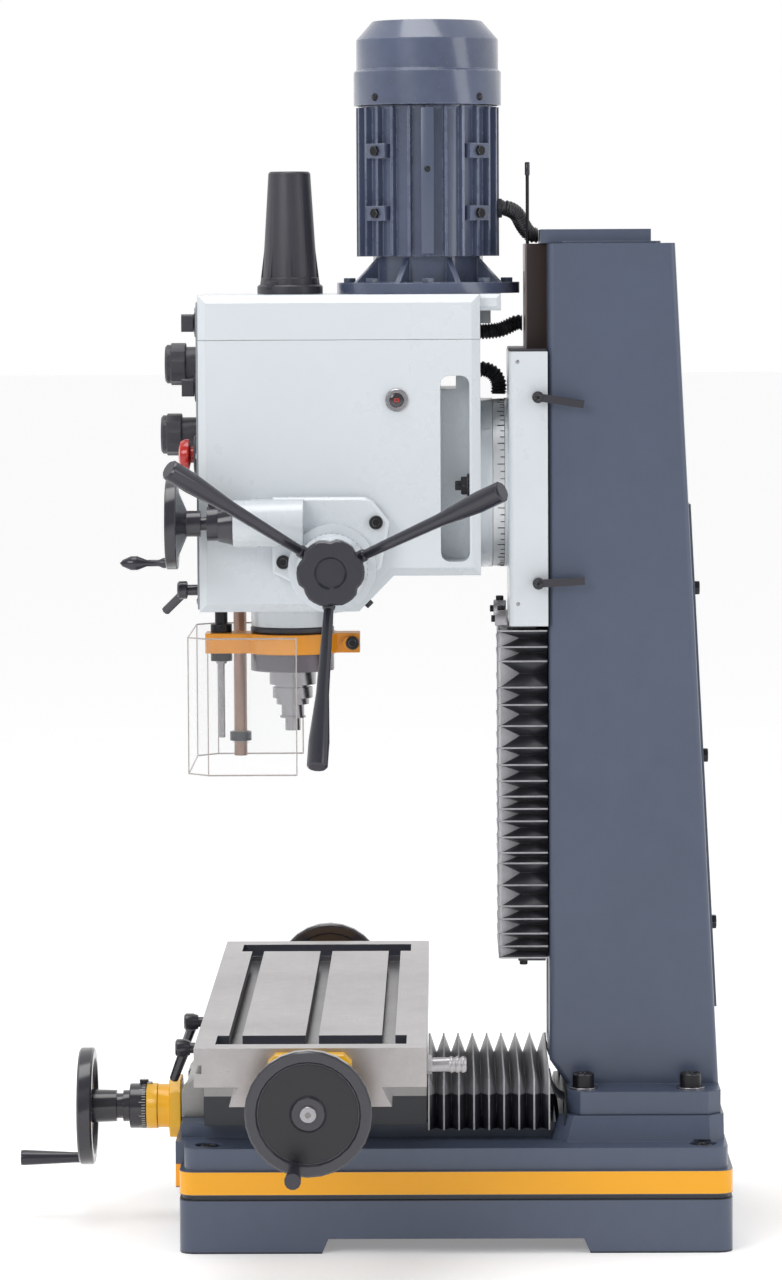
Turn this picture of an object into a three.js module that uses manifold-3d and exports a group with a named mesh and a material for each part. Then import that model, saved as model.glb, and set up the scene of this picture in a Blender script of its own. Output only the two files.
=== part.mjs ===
// A bench drill milling machine: base, saddle, table, column, lift slide, geared head, motor, quill and feed.
// Millimetres. +X is the machine's right side, +Y its back, +Z up. The operator stands at -Y.
import * as THREE from "three";
import { mergeVertices } from "three/addons/utils/BufferGeometryUtils.js";
import Module from "manifold-3d";

// Clearances and cutting
const SEAT_GAP = 0.3;
const RUN_GAP = 0.4;
const SLIDE_GAP = 0.5;
const OVERRUN = 2;

// Facets round a full turn
const FINE = 28;
const ROUND = 18;
const SMALL = 12;
const TINY = 8;

const STEEL = { color: 0xb9bcc0, roughness: 0.35, metalness: 1 };
const GROUND_IRON = { color: 0xa9a8aa, roughness: 0.42, metalness: 0.9 };
const BLUE_GREY = { color: 0x4f5867, roughness: 0.5, metalness: 0.15 };
const HEAD_WHITE = { color: 0xdfe5e6, roughness: 0.45, metalness: 0.05 };
const YELLOW = { color: 0xf2b10e, roughness: 0.45, metalness: 0.1 };
const ORANGE = { color: 0xdc8f14, roughness: 0.42, metalness: 0.1 };
const BLACK = { color: 0x26272a, roughness: 0.4, metalness: 0.1 };
const BAKELITE = { color: 0x2e2f35, roughness: 0.3, metalness: 0.05 };
const RUBBER = { color: 0x18181a, roughness: 0.7, metalness: 0 };
const BRIGHT = { color: 0xd8d6cc, roughness: 0.35, metalness: 0.2 };
const RED = { color: 0xc8201c, roughness: 0.4, metalness: 0 };
const CLEAR = { color: 0xe8ecee, roughness: 0.08, metalness: 0 };

// Base casting
const BASE = {
  halfLength: 297, halfWidth: 205, corner: 16, skirtTop: 58, grooveHeight: 5, grooveDepth: 3,
  bandTop: 89, tierTop: 113, tierInset: 5, wall: 18, roof: 16, noseRoot: 32,
  noseHalfWidth: 153, noseDepth: 6, bedHalfWidth: 130, bedTop: 129.5, bedLip: 1,
  notchHalfLength: 144, notchHeight: 16, notchSlope: 7,
  boltRadius: 7, boltSinkRadius: 15, boltSinkDepth: 9, boltInset: 31,
  padFront: 112, padBack: 290, padHalfWidth: 156, padTop: 139.8,
};
const BED_WAY = { rootHalfWidth: 60, crownHalfWidth: 70, height: 20, back: 108 };
const SCREW_TROUGH = { halfWidth: 24, floor: 102 };

// Column
const COLUMN = {
  front: 103, topBack: 240.5, footBack: 287, halfWidth: 97, top: 1079, corner: 7, wall: 14,
  flangeFront: 121, flangeHalfWidth: 150, flangeHeight: 24.8, flangeCorner: 14,
  footRise: 26, bevelDepth: 18, floorHeight: 36,
};
const WAY = { frontHalfWidth: 70, backHalfWidth: 58, depth: 24, bottom: 300 };
const SCREW_SLOT = { halfWidth: 30, bottomGap: 20, topGap: 30 };
// Height of the column that the head and its slide are drawn for: they rise with a taller one
const HEAD_DATUM = { columnTop: 1079 };
const COLUMN_CAP = { front: 96, back: 215, halfWidth: 80, thickness: 15 };
const LIMIT_ROD = { radius: 1.6, tipRadius: 2.4, tipLength: 13, height: 89, inset: 4 };
const REAR_COVER = { halfWidth: 72, bottom: 246, top: 796, thickness: 3, boltRadius: 7, boltHeight: 5,
  rows: 3 };

// Lift slide and swivel
const SLIDE = {
  front: 60.5, halfWidth: 102, bottom: 666, top: 963, corner: 6,
  nutHalfWidth: 20, nutHeight: 60, nutBack: 143,
};
const SWIVEL = { z: 817.5, radius: 93, slideRing: 4, scaleRing: 12.6, headRing: 12, scaleRadius: 92 };
const LIFT_SCREW = { y: 125, radius: 12, bottom: 268, topGap: 34 };
const LIFT_CRANK = {
  z: 318, shaftRadius: 9, bevelRadius: 22, bevelInner: 13, bevelBack: 28, armLength: 80, armWidth: 20,
    armThickness: 11,
  hubRadius: 15, hubLength: 26, gripRadius: 11, gripNeckRadius: 7, gripLength: 84, standoff: 6,
};

// Saddle, table and their screws
const SADDLE = {
  halfWidth: 150, front: -272, back: -31, top: 213.2,
  tongueHalfWidth: 96, tongueDepth: 27, tongueTop: 187, tongueNose: 157,
  reliefHalfWidth: 45, reliefTop: 161, nutHalfLength: 22,
};
const TABLE = {
  y: -149.9, halfLength: 400, halfWidth: 120, top: 254, thickness: 40.5,
  wayHeight: 20.5, wayRootHalfWidth: 72, wayCrownHalfWidth: 84, troughHalfWidth: 17, troughTop: 224,
  slotPitch: 80, slotWidth: 14, slotNeck: 11, slotWide: 24, slotFoot: 9,
  gutterEdge: 27, gutterLength: 58, gutterHalfWidth: 99, gutterDepth: 14,
  stopGrooveZ: 232, stopGrooveHeight: 9, stopGrooveDepth: 8,
};
const TABLE_SCREW = { z: 200, radius: 10 };
const TABLE_BRACKET = { halfWidth: 43, rise: 50, drop: 36, bevel: 8, thickness: 26, hubRadius: 22,
  hubLength: 8 };
const CROSS_SCREW = { z: 126, radius: 10 };
const CROSS_BRACKET = { plateHalf: 32, plateBevel: 13, plateThickness: 13.5, radius: 24.5, length: 13.2 };
const SCREW_NUT = { halfWidth: 18, bottom: 108 };
const WHEEL = {
  radius: 65, rim: 14, rimWidth: 13, web: 8, hubRadius: 18.5, hubLength: 20, dialRadius: 24.5, dialLength: 20,
  endRadius: 8.3, endLength: 3, reach: 80, gripRadius: 58, frontRim: 16.4,
};
const GRIP = { length: 66, rootRadius: 6, endRadius: 8.7, studRadius: 3.5 };
const FRONT_WHEEL = { faceReach: 87, hubReach: 46, hubRadius: 17.5, clutchReach: 31.5, clutchRadius: 14,
  dialRadius: 24.5 };
const SADDLE_CLAMP = {
  hubRadius: 10, hubLength: 16, shaftRadius: 6, shaftLength: 19, armLength: 46, armRoot: 6, armTip: 5,
  tilt: THREE.MathUtils.degToRad(18),
};
const QUILL_CLAMP = {
  hubRadius: 10, hubLength: 11, shaftRadius: 6, shaftLength: 11, armLength: 42, armRoot: 5, armTip: 5,
  tilt: THREE.MathUtils.degToRad(35),
};
const SADDLE_LEVERS = [
  { name: "saddle_lever_left", x: -126, z: 200, turn: THREE.MathUtils.degToRad(150) },
  { name: "saddle_lever_right", x: 59, z: 200, turn: THREE.MathUtils.degToRad(150) },
];
const SLIDE_LEVER = { y: 92, hubRadius: 6.5, hubLength: 12, armLength: 50, armWidth: 8.5, armThickness: 7 };
const SLIDE_LEVERS = [
  { name: "slide_lever_upper", z: 914, turn: THREE.MathUtils.degToRad(-9) },
  { name: "slide_lever_lower", z: 713, turn: THREE.MathUtils.degToRad(3) },
];
const GRIP_TURN = THREE.MathUtils.degToRad(76);
const CROSS_GRIP_TURN = THREE.MathUtils.degToRad(0);
const BARB = { inset: 28, z: 232, radius: 7.5, ridge: 8.7, length: 36, nutRadius: 10, nutLength: 5 };

// Pleated covers
const WAY_COVER = {
  top: 665, bottom: 303, folds: 18, ridgeFront: 47, valleyFront: 68.5, ridgeHalfWidth: 97,
    valleyHalfWidth: 79,
  back: 102, cloth: 2, bevelShare: 0.16,
};
const BED_COVER = {
  folds: 9, ridgeTop: 183, valleyTop: 164, ridgeHalfWidth: 155, valleyHalfWidth: 137, bottom: 124, cloth: 2,
  bevelShare: 0.1, backGap: 18,
};

// Head
const HEAD = {
  front: -274, back: 30, halfWidth: 125, bottom: 684, seam: 977, top: 1025.3, edge: 9,
  chinY: -102, chinRise: 38.5, chinRun: 38,
  cavityFront: -248, cavityBack: 4, cavityHalfWidth: 106,
  pocketFront: -13, pocketBack: 18, pocketBottom: 738, pocketTop: 938, pocketDepth: 46,
  earBack: 52.6, earHalfWidth: 104, earHeight: 18, lidRoof: 14,
};
const SPINDLE_Y = -177.6;
const QUILL = { radius: 35, bore: 22.5, top: 920, flangeRadius: 46, flangeTop: 631.2, flangeBottom: 612,
  stroke: 120 };
const QUILL_BOSS = { radius: 45.2, bottom: 661 };
const SPINDLE = { radius: 16, bearingLength: 18, top: 1012 };
// Nose steps below the quill: [radius, lower end]
const NOSE_STEPS = [
  [25.5, 596], [19, 593], [22, 581], [18, 574], [12.5, 561], [14.3, 559], [8.5, 545],
];
const STOP_CLAMP = {
  top: 653.3, bottom: 631.6, radius: 52, armHalfWidth: 21, armFront: -273, earHalfWidth: 16,
    earBack: -103, slit: 3,
  screwRadius: 7, screwHead: 5,
};
const STOP_ROD = { y: -256, radius: 6, top: 824, thinRadius: 3.6, thinTop: 628, bottom: 537,
  nutRadius: 11, nutHeight: 9 };
const HEAD_FOOT = { radius: 13.5, height: 4 };
const FEED = { y: -129.5, z: 733.5, shaftRadius: 12, pinionTeeth: 15, module: 2, pinionHalfLength: 15 };
const FEED_HOUSING = {
  thickness: 25, bossRadius: 47.5, bossLength: 43, wormX: 160, wormZ: 782, wormRadius: 25,
    wormFront: -235, wormBack: -160,
  left: -194, bottom: 728, top: 809, right: -68, bolt: 7.3, boltHead: 3,
};
const FEED_HUB = { radius: 38, bodyLength: 26, coneLength: 24, leverTilt: 27, firstAngle: 26 };
const LEVER = { length: 190, rootRadius: 5.4, collarRadius: 7, waistRadius: 7.2, endRadius: 11.4,
  collarLength: 8 };
const STAR_KNOB = { radius: 36, lobes: 6, lobeDepth: 3.4, length: 26, dishRadius: 19, dishDepth: 4,
  edge: 4, boltRadius: 5 };
const FINE_FEED = {
  radius: 49, rimFront: -306.6, rim: 12.2, coneEnd: -284.7, hubEnd: -269.8, hubRadius: 14, shaftRadius: 7.3,
  collarFront: -263, collarRadius: 18.5, collarEnd: -251, dialRadius: 21.5, dialGap: 15.6, shaftEnd: -175,
    bladeRadius: 5,
};
const FINE_GRIP = { z: -42, length: 50, neckRadius: 3.6, bulbRadius: 7.6 };
const QUILL_LOCK = { x: 100, z: 707, turn: THREE.MathUtils.degToRad(134) };

// Motor
const MOTOR = {
  y: -26, flangeRadius: 100, flangeThickness: 12, neckRadius: 60, neckTop: 1066, gussets: 8,
  bodyRadius: 70, finRadius: 78, finTop: 1228, finCount: 24, finWidth: 3, shaftRadius: 10, sleeveDepth: 40,
  lugInner: 64, lugOuter: 80, lugHalfWidth: 14, lugHeight: 16, lugZs: [1112.6, 1180],
};
const FAN_COVER = {
  lugInner: 60, lugHeight: 9,
  bottom: 1230, step: 1269, shoulder: 1301.5, top: 1321.5, lowRadius: 80.5, midRadius: 77.5, topRadius: 60,
  shell: 2.5, slots: 12, slotWidth: 4, slotInner: 18, slotOuter: 52,
};
const FAN = { hubRadius: 20, radius: 66, blades: 7, blade: 3, bottom: 1244, height: 30 };
const DRAWBAR_CAP = {
  flangeRadius: 36, flangeHeight: 10, footRadius: 30.5, topRadius: 23, top: 1159, shell: 3, ribs: 8,
    ribDepth: 2.4, ribTop: 1090, ribReach: 26,
};

// Front controls, oil sight, guard and hoses
const PANEL = { halfWidth: 112, thickness: 2, bottom: 686, top: 1018 };
const SPEED_KNOB = {
  zs: [949, 871.5], x: -10, radius: 23.3, lobes: 12, lobeDepth: 1.6, grip: 17, cap: 6, neck: 9,
    neckRadius: 19,
  reach: [39, 44], flangeRadius: 22, flange: 4,
};
const SWITCH = { halfWidth: 9, height: 19, depth: 13, stemRadius: 6, travel: 4 };
const UPPER_SWITCH = { x: 66, z: 995 };
const LOWER_SWITCH = { x: 66, z: 925 };
const BUTTON_WELL = { back: -268, clearance: 0.6 };
const STOP_BUTTON = { x: 66, z: 852, radius: 17, crown: 13, stem: 8, stemRadius: 9, travel: 5 };
const SIGHT = { y: -60, z: 912, radius: 12.4, height: 3, lensRadius: 8 };
const GUARD_POST = { x: -111, y: -240, radius: 7.35, bottom: 506 };
const GUARD = {
  halfWidth: 121, front: -289, back: -169, bottom: 506, top: 656, bevel: 23, sheet: 2, tabHeight: 14,
};
const HOSE = { radius: 8.8, valley: 7.3, bore: 5.5, pitch: 6 };

// Ratios and angles of small forms
const HUB_WAIST_SHARE = 0.8;
const THUMB = { radius: 5, height: 7 };
const BARB_BACK_SHARE = 0.9;
const ROOT_SHARE = 1.1;
const TOOTH_SHARE = 0.42;
const PRESSURE_ANGLE = THREE.MathUtils.degToRad(20);
const MESH_SHARE = 0.25;
const PINION_DEPTH_SHARE = 1.2;
const PINION_ROOT_SHARE = 0.62;
const PINION_PITCH_SHARE = 0.4;
const PINION_TIP_SHARE = 0.85;
const PINION_CREST_SHARE = 0.18;
const ARC_BACK = THREE.MathUtils.degToRad(68);
const ARC_FRONT = THREE.MathUtils.degToRad(-64);
const LEVER_WAIST_SHARE = 0.56;
const LEVER_END_SHARE = 0.84;
const LOBE_TURN = THREE.MathUtils.degToRad(12);
const BULB_SHARES = [0.16, 0.42, 0.62, 0.76, 0.94];
const BEND_SHARE = 0.41;

// Hose routes, from the motor to the column top and from the head to the slide
const HOSE_ROUTES = {
  motor_hose: [[0, 52.8, 1118], [0, 60, 1118], [-8, 71, 1112], [-20, 80, 1097], [-25, 87, 1089.4],
    [-25, 95, 1088.8]],
  upper_hose: [[-30, 30.9, 983], [-30, 38, 983], [-30, 54, 985], [-30, 70, 992], [-30, 77.4, 992.4]],
  lower_hose: [[-30, 31, 941], [-30, 37, 941], [-30, 46, 936], [-30, 51, 926], [-30, 51, 914]],
};

const wasm = await Module();
wasm.setup();
const HALF_TURN = Math.PI;
const QUARTER_TURN = Math.PI / 2;
const WELD = 1e-4;

// Welds shared corners and drops the collapsed triangles at a lathe's poles.
function welded(geometry) {
  const bare = geometry.index ? geometry.toNonIndexed() : geometry.clone();
  bare.deleteAttribute("normal");
  bare.deleteAttribute("uv");
  const merged = mergeVertices(bare, WELD);
  const kept = [];
  const index = merged.index.array;
  for (let i = 0; i < index.length; i += 3) {
    const [a, b, c] = [index[i], index[i + 1], index[i + 2]];
    if (a !== b && b !== c && c !== a) kept.push(a, b, c);
  }
  return { corners: merged.attributes.position.array, triangles: new Uint32Array(kept) };
}

function solid(shape) {
  if (!shape.isBufferGeometry) return shape;
  const { corners, triangles } = welded(shape);
  const make = () => new wasm.Manifold(new wasm.Mesh({ numProp: 3, vertProperties: corners,
    triVerts: triangles }));
  const made = make();
  if (made.volume() > 0) return made;
  for (let i = 0; i < triangles.length; i += 3) {
    [triangles[i + 1], triangles[i + 2]] = [triangles[i + 2], triangles[i + 1]];
  }
  return make();
}

const join = (...shapes) => shapes.map(solid).reduce((whole, next) => whole.add(next));
const cut = (body, ...tools) => tools.map(solid).reduce((left, tool) => left.subtract(tool), solid(body));

function piece(name, finish, shape) {
  const { vertProperties, triVerts, numProp } = solid(shape).getMesh();
  const corners = new Float32Array((vertProperties.length / numProp) * 3);
  for (let i = 0; i < vertProperties.length / numProp; i++) {
    corners.set(vertProperties.subarray(i * numProp, i * numProp + 3), i * 3);
  }
  const geometry = new THREE.BufferGeometry();
  geometry.setAttribute("position", new THREE.BufferAttribute(corners, 3));
  geometry.setIndex(new THREE.BufferAttribute(triVerts, 1));
  geometry.computeVertexNormals();
  const mesh = new THREE.Mesh(geometry, new THREE.MeshStandardMaterial(finish));
  mesh.name = name;
  return mesh;
}

// Basic shapes in the machine's own frame
function box(x0, x1, y0, y1, z0, z1) {
  const block = new THREE.BoxGeometry(x1 - x0, y1 - y0, z1 - z0);
  return block.translate((x0 + x1) / 2, (y0 + y1) / 2, (z0 + z1) / 2);
}

const points = (list) => list.map(([a, b]) => new THREE.Vector2(a, b));

// A solid of revolution about Z from [radius, z] corners
function turned(profile, facets = ROUND) {
  return new THREE.LatheGeometry(points(profile), facets).rotateX(QUARTER_TURN);
}
const rod = (radius, z0, z1, facets = ROUND) => turned([[0, z0], [radius, z0], [radius, z1], [0, z1]],
  facets);
const alongX = (shape) => shape.rotateY(QUARTER_TURN);
const alongY = (shape) => shape.rotateX(-QUARTER_TURN);
const rodX = (r, x0, x1, y, z, facets) => alongX(rod(r, x0, x1, facets)).translate(0, y, z);
const rodY = (r, y0, y1, x, z, facets) => alongY(rod(r, y0, y1, facets)).translate(x, 0, z);
const rodZ = (r, z0, z1, x, y, facets) => rod(r, z0, z1, facets).translate(x, y, 0);
// Bores are given by the distance across their flats
const flats = (r, facets = ROUND) => r / Math.cos(Math.PI / facets);
const boreX = (r, x0, x1, y, z, facets) => rodX(flats(r, facets), x0, x1, y, z, facets);
const boreY = (r, y0, y1, x, z, facets) => rodY(flats(r, facets), y0, y1, x, z, facets);
const boreZ = (r, z0, z1, x, y, facets) => rodZ(flats(r, facets), z0, z1, x, y, facets);
const tube = (outer, inner, z0, z1, facets) =>
  turned([[inner, z0], [outer, z0], [outer, z1], [inner, z1], [inner, z0]], facets);

// A prism of an outline, along Z, with its end edges bevelled inwards
function prism(outline, z0, z1, edge = 0) {
  const bevel = edge > 0;
  const options = { depth: z1 - z0 - 2 * edge, bevelEnabled: bevel, bevelSize: edge, bevelThickness: edge };
  options.bevelOffset = -edge;
  options.bevelSegments = 1;
  options.curveSegments = 1;
  return new THREE.ExtrudeGeometry(new THREE.Shape(points(outline)), options).translate(0, 0, z0 + edge);
}
const AXES = {
  upright: new THREE.Matrix4().set(1, 0, 0, 0, 0, 0, 1, 0, 0, 1, 0, 0, 0, 0, 0, 1),
  x: new THREE.Matrix4().set(0, 0, 1, 0, 1, 0, 0, 0, 0, 1, 0, 0, 0, 0, 0, 1),
  y: new THREE.Matrix4().set(0, 1, 0, 0, 0, 0, 1, 0, 1, 0, 0, 0, 0, 0, 0, 1),
};
// Outline in (y, z), extruded along X
const prismX = (outline, x0, x1, edge) => prism(outline, x0, x1, edge).applyMatrix4(AXES.x);
// Outline in (x, z), extruded along Y
const prismY = (outline, y0, y1, edge) =>
  prism(outline.map(([x, z]) => [z, x]), y0, y1, edge).applyMatrix4(AXES.y);

function arc(cx, cy, radius, from, to, steps) {
  return Array.from({ length: steps + 1 }, (_, i) => {
    const angle = from + ((to - from) * i) / steps;
    return [cx + radius * Math.cos(angle), cy + radius * Math.sin(angle)];
  });
}

function rounded(x0, x1, y0, y1, r, steps = 3) {
  return [
    ...arc(x1 - r, y0 + r, r, -QUARTER_TURN, 0, steps),
    ...arc(x1 - r, y1 - r, r, 0, QUARTER_TURN, steps),
    ...arc(x0 + r, y1 - r, r, QUARTER_TURN, HALF_TURN, steps),
    ...arc(x0 + r, y0 + r, r, HALF_TURN, HALF_TURN + QUARTER_TURN, steps),
  ];
}

function chamfered(x0, x1, y0, y1, c) {
  return [
    [x0 + c, y0], [x1 - c, y0], [x1, y0 + c], [x1, y1 - c], [x1 - c, y1], [x0 + c, y1], [x0, y1 - c],
      [x0, y0 + c],
  ];
}

// Skins rings of 3-D points that have equal counts, and closes both ends
function skin(rings, endTriangles) {
  const count = rings[0].length;
  const corners = rings.flat().flatMap((p) => [p.x, p.y, p.z]);
  const index = [];
  for (let k = 0; k + 1 < rings.length; k++) {
    for (let i = 0; i < count; i++) {
      const [a, b] = [k * count + i, k * count + ((i + 1) % count)];
      index.push(a, b, b + count, a, b + count, a + count);
    }
  }
  const last = (rings.length - 1) * count;
  for (const [a, b, c] of endTriangles) index.push(c, b, a, last + a, last + b, last + c);
  const geometry = new THREE.BufferGeometry();
  geometry.setAttribute("position", new THREE.BufferAttribute(new Float32Array(corners), 3));
  geometry.setIndex(index);
  return geometry;
}

// Stacks outlines of equal counts at rising heights
function loft(outlines, heights) {
  if (THREE.ShapeUtils.isClockWise(points(outlines[0]))) {
    outlines = outlines.map((outline) => [...outline].reverse());
  }
  const rings = outlines.map((outline, k) => outline.map(([x, y]) => new THREE.Vector3(x, y, heights[k])));
  return skin(rings, THREE.ShapeUtils.triangulateShape(points(outlines[0]), []));
}

const mirrored = (outline) => [...outline, ...outline.map(([a, b]) => [-a, b]).reverse()];
const atY = (outline, y) => outline.map(([a, b]) => [a + y, b]);

// Base casting
function dovetail(rootHalf, crownHalf, z0, z1) {
  return mirrored([[crownHalf, z1], [rootHalf, z0]]);
}

function floorBolts() {
  const places = [-1, 1].flatMap((sx) => [-1, 1].map((sy) => [sx, sy]));
  return places.map(([sx, sy]) => {
    const x = sx * (BASE.halfWidth - BASE.boltInset);
    const y = sy * (BASE.halfLength - BASE.boltInset);
    const sinkFloor = BASE.tierTop - BASE.boltSinkDepth;
    return join(
      rodZ(BASE.boltRadius, BASE.skirtTop, BASE.tierTop, x, y, SMALL),
      rodZ(BASE.boltSinkRadius, sinkFloor, BASE.tierTop + OVERRUN, x, y, SMALL),
    );
  });
}

function baseCasting() {
  const plan = (inset) => {
    const [hx, hy] = [BASE.halfWidth - inset, BASE.halfLength - inset];
    return rounded(-hx, hx, -hy, hy, BASE.corner);
  };
  const grooveTop = BASE.skirtTop + BASE.grooveHeight;
  const noseFront = -BASE.halfLength - BASE.noseDepth;
  const bedFront = -BASE.halfLength - BASE.bedLip;
  const wayTop = BASE.bedTop + BED_WAY.height;
  const padTop = chamfered(-BASE.padHalfWidth, BASE.padHalfWidth, BASE.padFront, BASE.padBack, BASE.corner);
  const padFoot = chamfered(
    -BASE.padHalfWidth - BASE.corner / 2, BASE.padHalfWidth + BASE.corner / 2,
    BASE.padFront - BASE.corner / 2, BASE.padBack, BASE.corner);
  const body = join(
    prism(plan(0), 0, BASE.skirtTop),
    prism(plan(BASE.grooveDepth), BASE.skirtTop, grooveTop),
    prism(plan(0), grooveTop, BASE.bandTop),
    prism(plan(BASE.tierInset), BASE.bandTop, BASE.tierTop),
    box(-BASE.noseHalfWidth, BASE.noseHalfWidth, noseFront, bedFront + BASE.noseRoot, grooveTop,
      BASE.tierTop),
    box(-BASE.bedHalfWidth, BASE.bedHalfWidth, bedFront, BASE.padFront, BASE.tierTop, BASE.bedTop),
    loft([padFoot, padTop], [BASE.tierTop, BASE.padTop]),
    prismY(dovetail(BED_WAY.rootHalfWidth, BED_WAY.crownHalfWidth, BASE.bedTop, wayTop), bedFront,
      BED_WAY.back),
  );
  const [px, py] = [BASE.halfWidth - BASE.wall, BASE.halfLength - BASE.wall];
  const notchTop = BASE.notchHalfLength - BASE.notchSlope;
  return cut(
    body,
    prism(rounded(-px, px, -py, py, BASE.corner), -OVERRUN, SCREW_TROUGH.floor - BASE.roof),
    prismX(
      mirrored([[notchTop, BASE.notchHeight], [BASE.notchHalfLength, 0], [BASE.notchHalfLength, -OVERRUN]]),
      -BASE.halfWidth - OVERRUN, BASE.halfWidth + OVERRUN),
    box(-SCREW_TROUGH.halfWidth, SCREW_TROUGH.halfWidth, bedFront - OVERRUN - BASE.noseDepth,
      BED_WAY.back - BASE.wall,
      SCREW_TROUGH.floor, wayTop + OVERRUN),
    ...floorBolts(),
  );
}

// Column: y of its back at a height
function columnBack(z) {
  const foot = BASE.padTop + SEAT_GAP + COLUMN.flangeHeight;
  return COLUMN.footBack + ((COLUMN.topBack - COLUMN.footBack) * (z - foot)) / (COLUMN.top - foot);
}
const wayFront = COLUMN.front - WAY.depth;

function columnSection(z, front, inset) {
  const half = COLUMN.halfWidth - inset;
  return rounded(-half, half, front, columnBack(z) - inset, COLUMN.corner);
}

function columnCasting() {
  const flangeBottom = BASE.padTop + SEAT_GAP;
  const foot = flangeBottom + COLUMN.flangeHeight;
  const knee = foot + COLUMN.footRise;
  const inner = COLUMN.front + COLUMN.wall;
  const cavityFloor = foot + COLUMN.floorHeight;
  const cavityTop = COLUMN.top + OVERRUN;
  const slotTop = COLUMN.top - SCREW_SLOT.topGap;
  const rodY0 = wayFront + LIMIT_ROD.inset;
  const rodTop = COLUMN.top + LIMIT_ROD.height;
  const root = COLUMN.front + OVERRUN;
  const way = mirrored([
    [WAY.backHalfWidth, root], [WAY.backHalfWidth, COLUMN.front], [WAY.frontHalfWidth, wayFront],
  ]);
  const wider = COLUMN.flangeHalfWidth;
  const body = join(
    prism(chamfered(-wider, wider, COLUMN.flangeFront, COLUMN.footBack, COLUMN.flangeCorner),
      flangeBottom, foot),
    loft(
      [columnSection(foot, COLUMN.front + COLUMN.bevelDepth, 0), columnSection(knee, COLUMN.front, 0),
        columnSection(COLUMN.top, COLUMN.front, 0)],
      [foot, knee, COLUMN.top]),
    prism(way, WAY.bottom, COLUMN.top),
    rodZ(LIMIT_ROD.radius, COLUMN.top - OVERRUN, rodTop, 0, rodY0, TINY),
    rodZ(LIMIT_ROD.tipRadius, rodTop - LIMIT_ROD.tipLength, rodTop, 0, rodY0, TINY),
  );
  const hollow = cut(
    body,
    loft([columnSection(cavityFloor, inner, COLUMN.wall), columnSection(cavityTop, inner, COLUMN.wall)],
      [cavityFloor, cavityTop]),
    box(-SCREW_SLOT.halfWidth, SCREW_SLOT.halfWidth, wayFront - OVERRUN, inner + OVERRUN, cavityFloor,
      slotTop),
    boreX(LIFT_CRANK.shaftRadius + RUN_GAP, -COLUMN.halfWidth - OVERRUN, 0, LIFT_SCREW.y, LIFT_CRANK.z,
      SMALL),
  );
  const footstep = rodZ(LIFT_SCREW.radius + COLUMN.corner, cavityFloor - OVERRUN,
    LIFT_SCREW.bottom - SEAT_GAP, 0,
    LIFT_SCREW.y, SMALL);
  return join(hollow, footstep);
}

function columnCap() {
  const seat = COLUMN.top + SEAT_GAP;
  const lip = COLUMN.halfWidth - COLUMN.wall - RUN_GAP;
  const inner = COLUMN.front + COLUMN.wall + RUN_GAP;
  const back = columnBack(COLUMN.top) - COLUMN.wall - 2 * RUN_GAP;
  return join(
    box(-COLUMN_CAP.halfWidth, COLUMN_CAP.halfWidth, COLUMN_CAP.front, COLUMN_CAP.back, seat,
      seat + COLUMN_CAP.thickness),
    prism(rounded(-lip, lip, inner, back, COLUMN.corner), COLUMN.top - COLUMN_CAP.thickness / 2,
      seat + OVERRUN),
  );
}

function rearCover() {
  const face = (z) => columnBack(z) + SEAT_GAP;
  const { bottom, top, thickness, halfWidth } = REAR_COVER;
  const plate = prismX(
    [[face(bottom), bottom], [face(bottom) + thickness, bottom], [face(top) + thickness, top],
      [face(top), top]],
    -halfWidth, halfWidth);
  const pitch = (top - bottom) / REAR_COVER.rows;
  const heads = [];
  for (let row = 0; row < REAR_COVER.rows; row++) {
    const z = bottom + (row + 1 / 2) * pitch;
    for (const side of [-1, 1]) {
      const x = side * (halfWidth - 2 * REAR_COVER.boltRadius);
      const y = face(z) + thickness;
      heads.push(rodY(REAR_COVER.boltRadius, y - thickness / 2, y + REAR_COVER.boltHeight, x, z, 6));
    }
  }
  return join(plate, ...heads);
}

// Lift slide, swivel and lift drive
const slideRingFront = SLIDE.front - SWIVEL.slideRing;
const scaleBack = slideRingFront - SEAT_GAP;
const scaleFront = scaleBack - SWIVEL.scaleRing;
const headRingBack = scaleFront - SEAT_GAP;

function liftSlide() {
  const back = COLUMN.front - SEAT_GAP;
  const plan = [
    [SLIDE.halfWidth, back], ...arc(SLIDE.halfWidth - SLIDE.corner, SLIDE.front + SLIDE.corner,
      SLIDE.corner, 0,
      -QUARTER_TURN, 3),
  ];
  const front = wayFront - SLIDE_GAP;
  const guide = mirrored([
    [WAY.frontHalfWidth + SLIDE_GAP, front], [WAY.backHalfWidth + SLIDE_GAP, COLUMN.front],
    [WAY.backHalfWidth + SLIDE_GAP, COLUMN.front + OVERRUN],
  ]);
  const nutZ = SWIVEL.z - SLIDE.nutHeight / 2;
  const nut = box(-SLIDE.nutHalfWidth, SLIDE.nutHalfWidth, front - OVERRUN, SLIDE.nutBack, nutZ,
    nutZ + SLIDE.nutHeight);
  return join(
    cut(prism(mirrored(plan), SLIDE.bottom, SLIDE.top), prism(guide, SLIDE.bottom - OVERRUN,
      SLIDE.top + OVERRUN)),
    rodY(SWIVEL.radius, slideRingFront, SLIDE.front + OVERRUN, 0, SWIVEL.z, FINE),
    cut(nut, boreZ(LIFT_SCREW.radius + RUN_GAP, nutZ - OVERRUN, nutZ + SLIDE.nutHeight + OVERRUN, 0,
      LIFT_SCREW.y, SMALL)),
  );
}

const scaleRing = () => rodY(SWIVEL.scaleRadius, scaleFront, scaleBack, 0, SWIVEL.z, FINE);

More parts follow.
